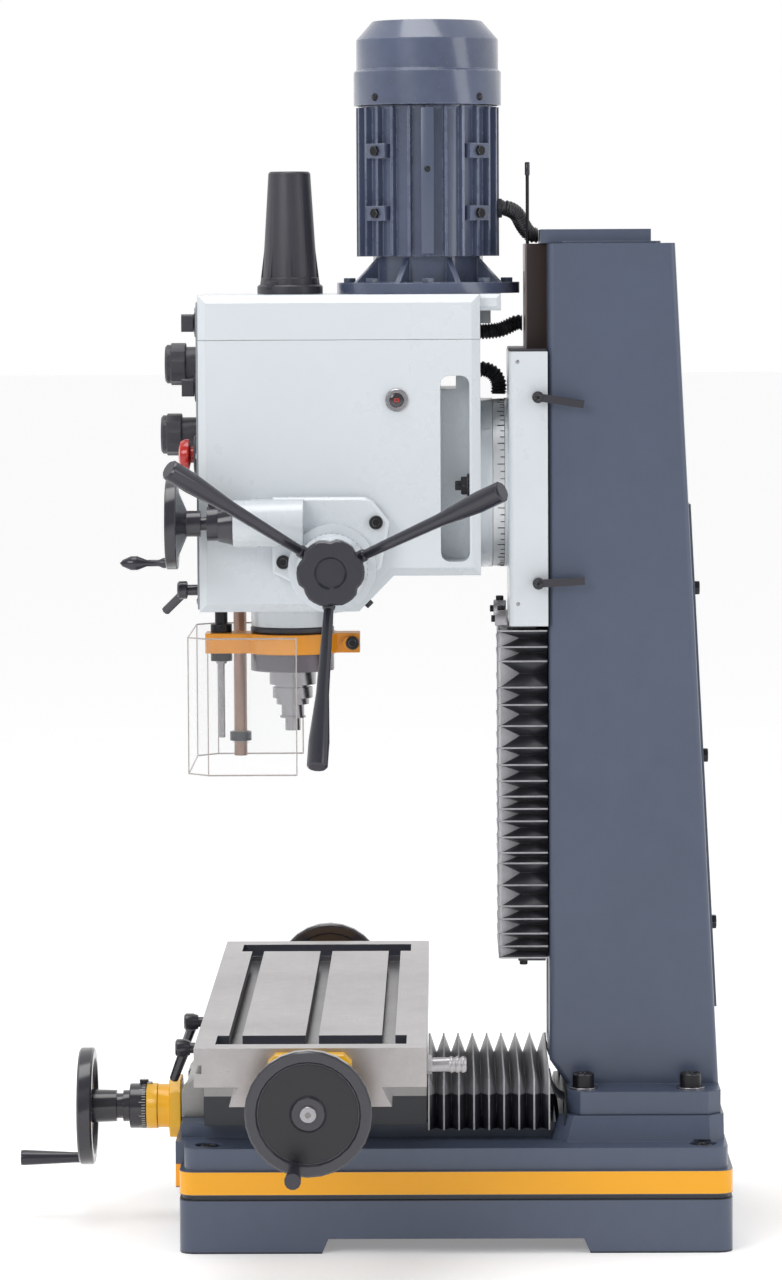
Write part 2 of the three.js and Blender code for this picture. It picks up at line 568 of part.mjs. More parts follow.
function liftScrew() {
  const top = COLUMN.top - LIFT_SCREW.topGap;
  const { bevelRadius, z } = LIFT_CRANK;
  const big = bevelRadius - SLIDE_GAP;
  const gearFoot = z - bevelRadius;
  return turned([
    [0, LIFT_SCREW.bottom], [LIFT_SCREW.radius, LIFT_SCREW.bottom],
    [LIFT_SCREW.radius, gearFoot - LIFT_SCREW.radius / 2], [big, gearFoot - LIFT_SCREW.radius / 2],
      [big, gearFoot],
    [LIFT_SCREW.radius, gearFoot + big - LIFT_SCREW.radius], [LIFT_SCREW.radius, top], [0, top],
  ], SMALL).translate(0, LIFT_SCREW.y, 0);
}

// Local frame: crank shaft along +Z (outwards), arm along +Y
function liftCrank() {
  const c = LIFT_CRANK;
  const face = COLUMN.halfWidth;
  const hub0 = face + c.standoff;
  const hub1 = hub0 + c.hubLength;
  const armFoot = hub1 - c.armThickness;
  const halfArm = c.armWidth / 2;
  const arm = [
    ...arc(0, 0, halfArm, HALF_TURN, 2 * HALF_TURN, 6), ...arc(0, c.armLength, halfArm, 0, HALF_TURN, 6),
  ];
  const grip = turned([
    [0, armFoot], [c.gripNeckRadius, armFoot], [c.gripNeckRadius, hub1],
      [c.gripRadius, hub1 + c.gripNeckRadius],
    [c.gripRadius, hub1 + c.gripLength - c.gripNeckRadius], [c.gripNeckRadius, hub1 + c.gripLength],
      [0, hub1 + c.gripLength],
  ], SMALL).translate(0, c.armLength, 0);
  const cone = turned([
    [0, c.bevelInner], [c.bevelInner - SLIDE_GAP, c.bevelInner], [c.bevelRadius - SLIDE_GAP, c.bevelRadius],
    [c.bevelRadius - SLIDE_GAP, c.bevelBack], [0, c.bevelBack],
  ], SMALL);
  return join(
    rod(c.shaftRadius, c.bevelBack - OVERRUN, hub1, SMALL),
    cone, rod(c.hubRadius, hub0, hub1, SMALL), prism(arm, armFoot, hub1), grip,
  );
}

// Adjustable clamp lever: hub along +Z, arm leaving along +Y with a slight rise
function clampLever(c) {
  const hubTop = c.shaftLength + c.hubLength;
  const arm = turned([[0, 0], [c.armRoot, 0], [c.armTip, c.armLength], [0, c.armLength + c.armTip / 2]], TINY)
    .rotateX(-QUARTER_TURN + c.tilt).translate(0, 0, hubTop - c.armRoot - c.hubRadius / 2);
  return join(
    rod(c.shaftRadius, 0, c.shaftLength + OVERRUN, SMALL),
    turned([[0, c.shaftLength], [c.hubRadius * HUB_WAIST_SHARE, c.shaftLength],
      [c.hubRadius, hubTop - c.hubRadius],
      [c.hubRadius, hubTop - OVERRUN], [c.hubRadius - OVERRUN, hubTop], [0, hubTop]], SMALL),
    arm,
  );
}

// Slide clamp: round hub along +Z, flat handle towards the back
function slideLever() {
  const l = SLIDE_LEVER;
  const half = l.armWidth / 2;
  const arm = box(-half, half, 0, l.armLength, l.hubLength - l.armThickness, l.hubLength);
  return join(rod(l.hubRadius, 0, l.hubLength, SMALL), arm);
}

// Saddle
function saddleCasting() {
  const s = SADDLE;
  const bottom = BASE.bedTop + SEAT_GAP;
  const wayTop = BASE.bedTop + BED_WAY.height + SLIDE_GAP;
  const tongueFront = s.front - s.tongueDepth;
  const tongue = prismX(
    [[s.front + OVERRUN, bottom], [tongueFront, bottom], [tongueFront, s.tongueNose], [s.front, s.tongueTop],
      [s.front + OVERRUN, s.tongueTop]],
    -s.tongueHalfWidth, s.tongueHalfWidth);
  const y0 = tongueFront - OVERRUN;
  const y1 = s.back + OVERRUN;
  const crossWay = dovetail(BED_WAY.rootHalfWidth + SLIDE_GAP, BED_WAY.crownHalfWidth + SLIDE_GAP,
    bottom - OVERRUN, wayTop);
  const tableFloor = TABLE.top - TABLE.thickness - TABLE.wayHeight - SLIDE_GAP;
  const tableWay = dovetail(
    TABLE.wayRootHalfWidth + SLIDE_GAP, TABLE.wayCrownHalfWidth + SLIDE_GAP, s.top + OVERRUN, tableFloor);
  const reach = s.halfWidth + OVERRUN;
  const screwFloor = TABLE_SCREW.z - TABLE_SCREW.radius - OVERRUN;
  const trough = box(-reach, reach, TABLE.y - TABLE_SCREW.radius - OVERRUN,
    TABLE.y + TABLE_SCREW.radius + OVERRUN,
    screwFloor, s.top);
  const nutHalf = TABLE.troughHalfWidth - OVERRUN;
  const tableNut = box(-s.nutHalfLength, s.nutHalfLength, TABLE.y - nutHalf, TABLE.y + nutHalf,
    screwFloor - OVERRUN, s.top);
  const middle = (s.front + s.back) / 2;
  const crossNut = box(-SCREW_NUT.halfWidth, SCREW_NUT.halfWidth, middle - s.nutHalfLength,
    middle + s.nutHalfLength,
    SCREW_NUT.bottom, s.reliefTop + OVERRUN);
  const body = cut(
    join(box(-s.halfWidth, s.halfWidth, s.front, s.back, bottom, s.top), tongue),
    prismY(crossWay, y0, y1), box(-s.reliefHalfWidth, s.reliefHalfWidth, y0, y1, bottom - OVERRUN,
      s.reliefTop),
    prismX(atY(tableWay, TABLE.y), -reach, reach), trough,
  );
  return cut(
    join(body, tableNut, crossNut),
    boreX(TABLE_SCREW.radius + RUN_GAP, -reach, reach, TABLE.y, TABLE_SCREW.z, SMALL),
    boreY(CROSS_SCREW.radius + RUN_GAP, y0, y1, 0, CROSS_SCREW.z, SMALL),
  );
}

// Table
function tableCasting() {
  const t = TABLE;
  const bottom = t.top - t.thickness;
  const reach = t.halfLength + OVERRUN;
  const [y0, y1] = [t.y - t.halfWidth, t.y + t.halfWidth];
  const way = dovetail(t.wayRootHalfWidth, t.wayCrownHalfWidth, bottom + OVERRUN, bottom - t.wayHeight);
  const neckFloor = t.top - t.slotNeck;
  const slots = [-1, 0, 1].flatMap((k) => {
    const y = t.y + k * t.slotPitch;
    const run = t.halfLength - t.gutterEdge - OVERRUN;
    return [
      box(-run, run, y - t.slotWidth / 2, y + t.slotWidth / 2, neckFloor - OVERRUN, t.top + OVERRUN),
      box(-run, run, y - t.slotWide / 2, y + t.slotWide / 2, neckFloor - t.slotFoot, neckFloor),
    ];
  });
  const gutters = [-1, 1].map((side) => {
    const outer = t.halfLength - t.gutterEdge;
    const ends = [side * (outer - t.gutterLength), side * outer].sort((a, b) => a - b);
    return box(...ends, t.y - t.gutterHalfWidth, t.y + t.gutterHalfWidth, t.top - t.gutterDepth,
      t.top + OVERRUN);
  });
  return cut(
    join(box(-t.halfLength, t.halfLength, y0, y1, bottom, t.top),
      prismX(atY(way, t.y), -t.halfLength, t.halfLength)),
    box(-reach, reach, t.y - t.troughHalfWidth, t.y + t.troughHalfWidth, bottom - t.wayHeight - OVERRUN,
      t.troughTop),
    box(-reach, reach, y0 - OVERRUN, y0 + t.stopGrooveDepth, t.stopGrooveZ - t.stopGrooveHeight / 2,
      t.stopGrooveZ + t.stopGrooveHeight / 2),
    ...slots, ...gutters,
  );
}

// End bracket of the table screw, its face towards +X at the table's end
function tableBracket() {
  const b = TABLE_BRACKET;
  const x0 = TABLE.halfLength + SEAT_GAP;
  const x1 = x0 + b.thickness;
  const outline = chamfered(TABLE.y - b.halfWidth, TABLE.y + b.halfWidth, TABLE_SCREW.z - b.drop,
    TABLE_SCREW.z + b.rise,
    b.bevel);
  return cut(
    join(prismX(outline, x0, x1), rodX(b.hubRadius, x0, x1 + b.hubLength, TABLE.y, TABLE_SCREW.z)),
    boreX(TABLE_SCREW.radius + RUN_GAP, x0 - OVERRUN, x1 + b.hubLength + OVERRUN, TABLE.y, TABLE_SCREW.z,
      SMALL),
  );
}
const bracketEnd = TABLE.halfLength + SEAT_GAP + TABLE_BRACKET.thickness + TABLE_BRACKET.hubLength;

const wheelX = TABLE.halfLength + WHEEL.reach;

function tableScrew() {
  const neck = bracketEnd;
  const end = wheelX + WHEEL.rim / 2 + WHEEL.endLength;
  return alongX(turned([
    [0, -end], [WHEEL.endRadius, -end], [WHEEL.endRadius, -neck], [TABLE_SCREW.radius, -neck],
      [TABLE_SCREW.radius, neck],
    [WHEEL.endRadius, neck], [WHEEL.endRadius, end], [0, end],
  ], SMALL)).translate(0, TABLE.y, TABLE_SCREW.z);
}

// Dished handwheel, its outer side towards +Z. The hub and its graduated collar reach back to hubBack
function handwheel(rimHalf, hubBack, collars) {
  const w = WHEEL;
  const bore = w.endRadius + SEAT_GAP;
  const rimInner = w.radius - w.rimWidth;
  const webHalf = w.web / 2;
  const lip = w.web / 4;
  const profile = [
    [bore, rimHalf], [bore, hubBack], ...collars, [w.hubRadius, -webHalf], [rimInner, -webHalf],
      [rimInner + lip, -rimHalf],
    [w.radius - lip, -rimHalf], [w.radius, -rimHalf + lip], [w.radius, rimHalf - lip],
      [w.radius - lip, rimHalf],
    [rimInner + lip, rimHalf], [rimInner, webHalf], [w.hubRadius, webHalf], [w.hubRadius - lip, rimHalf],
      [bore, rimHalf],
  ];
  const stud = rod(flats(GRIP.studRadius + SEAT_GAP, TINY), -rimHalf - OVERRUN, rimHalf + OVERRUN, TINY)
    .translate(0, -w.gripRadius, 0);
  return cut(turned(profile, FINE), stud);
}

function tableWheel() {
  const hubBack = bracketEnd + SEAT_GAP - wheelX;
  const dialEnd = hubBack + WHEEL.dialLength;
  return handwheel(WHEEL.rim / 2, hubBack,
    [[WHEEL.dialRadius, hubBack], [WHEEL.dialRadius, dialEnd], [WHEEL.hubRadius, dialEnd]]);
}

function crossWheel() {
  const rimHalf = WHEEL.frontRim / 2;
  const back = (reach) => crossWheelFace + rimHalf - (crossBracketFront - reach);
  const clutchEnd = back(FRONT_WHEEL.clutchReach);
  const hubEnd = back(FRONT_WHEEL.hubReach);
  const { clutchRadius, hubRadius } = FRONT_WHEEL;
  return handwheel(rimHalf, clutchEnd, [
    [hubRadius, clutchEnd], [hubRadius, (clutchEnd + hubEnd) / 2], [clutchRadius, (clutchEnd + hubEnd) / 2],
    [clutchRadius, hubEnd], [hubRadius, hubEnd],
  ]);
}

// Revolving grip standing on a wheel's face, its stud in the rim
function wheelGrip(rimHalf) {
  const g = GRIP;
  const start = rimHalf + SEAT_GAP;
  const end = start + g.length;
  return turned([
    [0, -rimHalf], [g.studRadius, -rimHalf], [g.studRadius, start], [g.rootRadius, start],
    [g.rootRadius, start + g.rootRadius], [g.endRadius, end - g.studRadius],
      [g.endRadius - SEAT_GAP, end], [0, end],
  ], SMALL).translate(0, -WHEEL.gripRadius, 0);
}

function crossBracket() {
  const b = CROSS_BRACKET;
  const back = -BASE.halfLength - BASE.noseDepth - SEAT_GAP;
  const front = back - b.plateThickness;
  const { z } = CROSS_SCREW;
  const outline = chamfered(-b.plateHalf, b.plateHalf, z - b.plateHalf, z + b.plateHalf, b.plateBevel);
  const plate = prismY(outline, front, back, OVERRUN / 2);
  return cut(
    join(plate, rodY(b.radius, front - b.length, front + OVERRUN, 0, z)),
    boreY(CROSS_SCREW.radius + RUN_GAP, front - b.length - OVERRUN, back + OVERRUN, 0, z, SMALL),
  );
}
const bracketSeat = -BASE.halfLength - BASE.noseDepth - SEAT_GAP;
const crossBracketFront = bracketSeat - CROSS_BRACKET.plateThickness - CROSS_BRACKET.length;
const crossWheelFace = crossBracketFront - FRONT_WHEEL.faceReach;

function crossScrew() {
  const end = crossWheelFace - WHEEL.endLength;
  return alongY(turned([
    [0, end], [WHEEL.endRadius, end], [WHEEL.endRadius, crossBracketFront],
      [CROSS_SCREW.radius, crossBracketFront],
    [CROSS_SCREW.radius, SADDLE.back + SADDLE.halfWidth / 2], [0, SADDLE.back + SADDLE.halfWidth / 2],
  ], SMALL)).translate(0, 0, CROSS_SCREW.z);
}

function crossDial() {
  const [front, back] = [crossBracketFront - FRONT_WHEEL.clutchReach + SEAT_GAP,
    crossBracketFront - SEAT_GAP];
  const screw = rodZ(THUMB.radius, 0, THUMB.height, 0, 0, TINY).translate(
    0, (front + back) / 2, CROSS_SCREW.z + FRONT_WHEEL.dialRadius - OVERRUN);
  const ring = alongY(tube(FRONT_WHEEL.dialRadius, WHEEL.endRadius + RUN_GAP, front, back)).translate(0,
    0, CROSS_SCREW.z);
  return join(ring, screw);
}

function hoseBarb() {
  const b = BARB;
  const nut = TABLE.y + TABLE.halfWidth + SEAT_GAP;
  const start = nut + b.nutLength;
  const end = start + b.length;
  const ridges = [];
  const pitch = b.length / 2 / 3;
  for (let k = 0; k < 3; k++) {
    const y = end - (3 - k) * pitch;
    ridges.push([b.radius, y], [b.ridge, y + pitch / 4], [b.ridge, y + pitch / 2],
      [b.radius, y + pitch * BARB_BACK_SHARE]);
  }
  return join(
    alongY(turned([[0, start - OVERRUN], [b.radius, start - OVERRUN], ...ridges, [b.radius - OVERRUN, end],
      [b.radius / 2, end], [b.radius / 2, start + b.nutLength], [0, start + b.nutLength]], SMALL)),
    rodY(b.nutRadius, nut, start, 0, 0, 6),
  );
}

// Pleated cover over the column's ways, open towards the column
function pleats(count, ridge, valley, start, end) {
  const heights = [];
  const outlines = [];
  for (let k = 0; k <= 2 * count; k++) {
    outlines.push(k % 2 ? ridge : valley);
    heights.push(start + ((end - start) * k) / (2 * count));
  }
  return loft(outlines, heights);
}

function channel(half, front, back, cloth, bevel) {
  const outer = [[half, back], [half, front + bevel], [half - bevel, front]];
  const inner = [[half - cloth - bevel, front + cloth], [half - cloth, front + cloth + bevel],
    [half - cloth, back]];
  const left = (list) => list.map(([x, y]) => [-x, y]);
  return [...outer, ...left(outer).reverse(), ...left(inner).reverse(), ...inner];
}

const headRise = COLUMN.top - HEAD_DATUM.columnTop;
function wayCover() {
  const c = WAY_COVER;
  const bevel = c.ridgeHalfWidth * c.bevelShare;
  return pleats(c.folds, channel(c.ridgeHalfWidth, c.ridgeFront, c.back, c.cloth, bevel),
    channel(c.valleyHalfWidth, c.valleyFront, c.back, c.cloth, bevel), c.bottom, c.top + headRise);
}

function bedCover() {
  const c = BED_COVER;
  const bevel = c.ridgeHalfWidth * c.bevelShare;
  const turnUp = (outline) => outline.map(([x, z]) => [x, -z]);
  const ring = (half, top) => turnUp(channel(half, -top, -c.bottom, c.cloth, bevel));
  const front = SADDLE.back + SEAT_GAP;
  const back = COLUMN.flangeFront - c.backGap;
  const stack = pleats(c.folds, ring(c.ridgeHalfWidth, c.ridgeTop), ring(c.valleyHalfWidth, c.valleyTop),
    0, back - front);
  return stack.applyMatrix4(AXES.upright).translate(0, front, 0);
}

// Head casting: gearbox housing with quill boss, swivel ring and two pockets for the swivel nuts
function headProfile(z1) {
  const h = HEAD;
  const throat = h.bottom + h.chinRise;
  return [[h.front, h.bottom], [h.chinY, h.bottom], [h.chinY + h.chinRun, throat], [h.back, throat],
    [h.back, z1],
    [h.front, z1]];
}

function swivelPockets() {
  const h = HEAD;
  return [-1, 1].map((side) => {
    const ends = [side * (h.halfWidth - h.pocketDepth), side * (h.halfWidth + OVERRUN)].sort((a, b) => a - b);
    const outline = rounded(h.pocketFront, h.pocketBack, h.pocketBottom, h.pocketTop, h.edge);
    return prismX(outline, ...ends);
  });
}

// The whole head above or below its seam
function headHalf(above) {
  const h = HEAD;
  const whole = prismX(headProfile(h.top), -h.halfWidth, h.halfWidth, h.edge);
  const [z0, z1] = above ? [h.bottom - OVERRUN, h.seam] : [h.seam - SEAT_GAP, h.top + OVERRUN];
  return cut(whole, box(-h.halfWidth - OVERRUN, h.halfWidth + OVERRUN, h.front - OVERRUN,
    h.back + OVERRUN, z0, z1));
}

function headCasting() {
  const h = HEAD;
  const seam = h.seam - SEAT_GAP;
  const footBottom = h.bottom - HEAD_FOOT.height;
  const rodBore = STOP_ROD.radius + RUN_GAP;
  const pinionBore = (FEED.pinionTeeth / 2 + 1) * FEED.module + SLIDE_GAP;
  const body = join(
    headHalf(false),
    rodY(SWIVEL.radius, h.back - OVERRUN, headRingBack, 0, SWIVEL.z, FINE),
    rodZ(QUILL_BOSS.radius, QUILL_BOSS.bottom, h.bottom + OVERRUN, 0, SPINDLE_Y, FINE),
    rodZ(HEAD_FOOT.radius, footBottom, h.bottom + OVERRUN, 0, STOP_ROD.y, SMALL),
  );
  return cut(
    body,
    boreZ(QUILL.radius + RUN_GAP, QUILL_BOSS.bottom - OVERRUN, QUILL.top + 2 * OVERRUN, 0, SPINDLE_Y, FINE),
    box(-h.cavityHalfWidth, h.cavityHalfWidth, h.cavityFront, h.cavityBack, QUILL.top + OVERRUN,
      seam + OVERRUN),
    boreZ(rodBore, footBottom - OVERRUN, STOP_ROD.top + OVERRUN, 0, STOP_ROD.y, SMALL),
    boreX(pinionBore, -FEED.pinionHalfLength - RUN_GAP, h.halfWidth + OVERRUN, FEED.y, FEED.z, SMALL),
    box(-FEED.pinionHalfLength - RUN_GAP, FEED.pinionHalfLength + RUN_GAP, SPINDLE_Y, FEED.y,
      FEED.z - pinionBore,
      FEED.z + pinionBore),
    ...swivelPockets(), ...buttonWells(),
  );
}

// Wells that the front buttons' stems sink into
function buttonWells() {
  const wells = [[UPPER_SWITCH, SWITCH], [LOWER_SWITCH, SWITCH], [STOP_BUTTON, STOP_BUTTON]];
  return wells.map(([place, stem]) => boreY(stem.stemRadius + BUTTON_WELL.clearance, HEAD.front - 2 * OVERRUN,
    BUTTON_WELL.back, place.x, place.z, SMALL));
}

function headLid() {
  const h = HEAD;
  const earBottom = h.top - h.earHeight;
  const ear = [[h.back - h.edge, earBottom], [h.earBack, earBottom], [h.earBack, h.top],
    [h.back - h.edge, h.top]];
  return cut(
    join(headHalf(true), prismX(ear, -h.earHalfWidth, h.earHalfWidth, h.edge / 2)),
    box(-h.cavityHalfWidth, h.cavityHalfWidth, h.cavityFront, h.cavityBack, h.seam - OVERRUN,
      h.top - h.lidRoof),
    boreZ(SPINDLE.radius + OVERRUN, h.seam, h.top + OVERRUN, 0, SPINDLE_Y, ROUND), ...buttonWells(),
  );
}

// Quill, spindle and depth stop
function quill() {
  const q = QUILL;
  const pitch = Math.PI * FEED.module;
  const pitchY = FEED.y - (FEED.pinionTeeth * FEED.module) / 2;
  const rootY = pitchY - FEED.module * ROOT_SHARE;
  const half = FEED.pinionHalfLength + RUN_GAP;
  const gaps = [];
  const rackBottom = FEED.z - 2 * pitch;
  const count = Math.ceil((q.stroke + 4 * pitch) / pitch);
  for (let k = 0; k < count; k++) {
    const z = rackBottom + k * pitch;
    if (z + pitch / 2 > q.top) break;
    gaps.push(rackGap(z, pitch, rootY, half));
  }
  const body = turned([
    [q.bore, q.flangeBottom], [q.flangeRadius, q.flangeBottom], [q.flangeRadius, q.flangeTop],
      [q.radius, q.flangeTop],
    [q.radius, q.top], [q.bore, q.top], [q.bore, q.flangeBottom],
  ], FINE).translate(0, SPINDLE_Y, 0);
  return cut(body, ...gaps);
}

// One tooth space of the rack, centred at z, opening towards +Y
function rackGap(z, pitch, rootY, half) {
  const mouthY = SPINDLE_Y + QUILL.radius + OVERRUN;
  const slope = Math.tan(PRESSURE_ANGLE);
  const pitchY = rootY + FEED.module * ROOT_SHARE;
  const halfGap = (pitch * (1 - TOOTH_SHARE)) / 2;
  const at = (y) => halfGap + (y - pitchY) * slope;
  const outline = [[rootY, z - at(rootY)], [mouthY, z - at(mouthY)], [mouthY, z + at(mouthY)],
    [rootY, z + at(rootY)]];
  return prismX(outline, -half, half);
}

// Spur pinion outline round the origin, with straight thinned flanks
function pinionOutline(teeth, module) {
  const pitchRadius = (teeth * module) / 2;
  const root = pitchRadius - module * PINION_DEPTH_SHARE;
  const crest = pitchRadius + module * PINION_TIP_SHARE;
  const half = [[root, PINION_ROOT_SHARE], [pitchRadius, PINION_PITCH_SHARE], [crest, PINION_CREST_SHARE]];
  const outline = [];
  for (let k = 0; k < teeth; k++) {
    const middle = (2 * Math.PI * (k + MESH_SHARE)) / teeth;
    const step = Math.PI / teeth;
    half.forEach(([r, share]) => outline.push([r, middle - step * share]));
    [...half].reverse().forEach(([r, share]) => outline.push([r, middle + step * share]));
  }
  return outline.map(([r, angle]) => [r * Math.cos(angle), r * Math.sin(angle)]);
}

function spindle() {
  const s = SPINDLE;
  const q = QUILL;
  const land = q.bore - RUN_GAP;
  const lowTop = q.flangeTop;
  const highTop = q.top - OVERRUN;
  const highFoot = highTop - s.bearingLength;
  const steps = [];
  let z = q.flangeBottom - SEAT_GAP;
  steps.push([s.radius, q.flangeBottom + s.bearingLength / 3], [s.radius, z]);
  for (const [radius, lower] of NOSE_STEPS) {
    steps.push([radius, z], [radius, lower]);
    z = lower;
  }
  const nose = steps.reverse();
  return turned([
    [0, z], ...nose,
    [land, q.flangeBottom + s.bearingLength / 3], [land, lowTop + s.bearingLength / 3],
      [s.radius, lowTop + s.bearingLength / 3],
    [s.radius, highFoot], [land, highFoot], [land, highTop], [s.radius, highTop], [s.radius, s.top],
    [s.radius / 2, s.top], [s.radius / 2, s.top + s.bearingLength], [0, s.top + s.bearingLength],
  ], ROUND).translate(0, SPINDLE_Y, 0);
}

function stopClamp() {
  const c = STOP_CLAMP;
  const outline = mirrored([
    [c.earHalfWidth, c.earBack], [c.earHalfWidth, SPINDLE_Y + Math.sqrt(c.radius ** 2 - c.earHalfWidth ** 2)],
    ...arc(0, SPINDLE_Y, c.radius, ARC_BACK, ARC_FRONT, 10), [c.armHalfWidth, c.armFront + OVERRUN],
    [c.armHalfWidth - OVERRUN, c.armFront],
  ]);
  const x1 = c.earHalfWidth;
  const z = (c.top + c.bottom) / 2;
  const y = c.earBack - 2 * c.screwRadius + OVERRUN;
  return join(cut(
    prism(outline, c.bottom, c.top),
    boreZ(QUILL.radius + SEAT_GAP, c.bottom - OVERRUN, c.top + OVERRUN, 0, SPINDLE_Y, FINE),
    boreZ(STOP_ROD.radius + SEAT_GAP, c.bottom - OVERRUN, c.top + OVERRUN, 0, STOP_ROD.y, SMALL),
    box(-c.slit / 2, c.slit / 2, SPINDLE_Y, c.earBack + OVERRUN, c.bottom - OVERRUN, c.top + OVERRUN),
  ), rodX(c.screwRadius, x1 - OVERRUN, x1 + c.screwHead, y, z, SMALL));
}

function stopRod() {
  const r = STOP_ROD;
  const c = STOP_CLAMP;
  const nut = (z) => rod(r.nutRadius, z, z + r.nutHeight, 6);
  return join(
    turned([
      [0, r.bottom], [r.thinRadius, r.bottom], [r.thinRadius, r.thinTop - r.nutHeight],
        [r.radius, r.thinTop - r.nutHeight],
      [r.radius, r.top], [0, r.top],
    ], SMALL),
    nut(c.top + SEAT_GAP), nut(c.bottom - SEAT_GAP - r.nutHeight),
  );
}

// Feed: housing, hub, levers, star knob, fine feed
function feedHousing() {
  const f = FEED_HOUSING;
  const x0 = HEAD.halfWidth + SEAT_GAP;
  const x1 = x0 + f.thickness;
  const e = HEAD.edge;
  const plate = [
    [f.left, f.bottom], [f.left + 2 * e, f.bottom - e], [FEED.y, FEED.z - f.bossRadius + e],
      [f.right - e, FEED.z],
    [f.right, f.wormZ], [f.right - 2 * e, f.top - e / 2], [f.right - 3 * e, f.top], [f.left, f.top],
  ];
  const bolt = (y, z) => rodX(f.bolt, x1 - OVERRUN, x1 + f.boltHead, y, z, SMALL);
  const wormZ = f.wormZ;
  return cut(
    join(
      prismX(plate, x0, x1, e / 3), rodX(f.bossRadius, x0, x0 + f.bossLength, FEED.y, FEED.z, FINE),
      rodY(f.wormRadius, f.wormFront, f.wormBack, f.wormX, wormZ, ROUND),
      box(x0, f.wormX, f.wormFront + 2 * e, f.wormBack, wormZ - f.wormRadius, wormZ + f.wormRadius),
      bolt(f.left + f.bolt + e / 2, f.bottom + f.bolt + e / 2), bolt(f.right - 2 * f.bolt, f.wormZ),
    ),
    boreX(FEED.shaftRadius + RUN_GAP, x0 - OVERRUN, x0 + f.bossLength + OVERRUN, FEED.y, FEED.z, SMALL),
    boreY(FINE_FEED.shaftRadius + RUN_GAP, f.wormFront - OVERRUN, FINE_FEED.shaftEnd + RUN_GAP, f.wormX,
      wormZ, SMALL),
  );
}
const hubStart = HEAD.halfWidth + SEAT_GAP + FEED_HOUSING.bossLength + SEAT_GAP;
const coneStart = hubStart + FEED_HUB.bodyLength;
const coneEnd = coneStart + FEED_HUB.coneLength;
const leverTilt = THREE.MathUtils.degToRad(FEED_HUB.leverTilt);

// The hub's cone stands square to the levers. Local frame: axis along +Z
function feedHub() {
  const f = FEED_HUB;
  const small = f.radius - f.coneLength * Math.tan(leverTilt);
  const half = FEED.pinionHalfLength;
  const edge = SEAT_GAP * 2;
  return join(
    turned([
      [0, half], [FEED.shaftRadius, half], [FEED.shaftRadius, hubStart], [f.radius - edge, hubStart],
      [f.radius, hubStart + edge], [f.radius, coneStart], [small, coneEnd], [0, coneEnd],
    ], FINE),
    prism(pinionOutline(FEED.pinionTeeth, FEED.module), -half, half + OVERRUN),
  );
}

// Bat-shaped lever along +Z
function feedLever() {
  const l = LEVER;
  const shoulder = l.length * LEVER_WAIST_SHARE;
  return turned([
    [0, 0], [l.collarRadius, 0], [l.collarRadius, l.collarLength], [l.rootRadius, l.collarLength + OVERRUN],
    [l.rootRadius + OVERRUN / 2, l.length / 3], [l.waistRadius, shoulder],
      [l.endRadius, l.length * LEVER_END_SHARE],
    [l.endRadius, l.length - OVERRUN], [l.endRadius - OVERRUN, l.length], [0, l.length],
  ], SMALL);
}

function placeLever(mesh, k) {
  const angle = THREE.MathUtils.degToRad(FEED_HUB.firstAngle) + (k * 2 * Math.PI) / 3;
  const seatX = coneStart + FEED_HUB.coneLength / 2;
  const seatR = FEED_HUB.radius - (FEED_HUB.coneLength / 2) * Math.tan(leverTilt);
  const direction = new THREE.Vector3(
    Math.sin(leverTilt), Math.cos(leverTilt) * Math.cos(angle), Math.cos(leverTilt) * Math.sin(angle));
  mesh.quaternion.setFromUnitVectors(new THREE.Vector3(0, 0, 1), direction);
  mesh.position.set(seatX, FEED.y + seatR * Math.cos(angle), FEED.z + seatR * Math.sin(angle))
    .addScaledVector(direction, SEAT_GAP);
  return mesh;
}

// Star knob, axis along +Z from its back face
function starKnob() {
  const k = STAR_KNOB;
  const steps = 6 * k.lobes;
  const outline = Array.from({ length: steps }, (_, i) => {
    const angle = (2 * Math.PI * i) / steps;
    const dip = Math.max(0, Math.cos(k.lobes * angle - LOBE_TURN)) ** 2;
    const r = k.radius - k.lobeDepth * dip;
    return [r * Math.cos(angle), r * Math.sin(angle)];
  });
  return cut(
    prism(outline, 0, k.length, k.edge / 2),
    turned([[0, k.length - k.dishDepth], [k.dishRadius - k.dishDepth, k.length - k.dishDepth],
      [k.dishRadius, k.length + OVERRUN],
      [0, k.length + OVERRUN]], ROUND),
  );
}

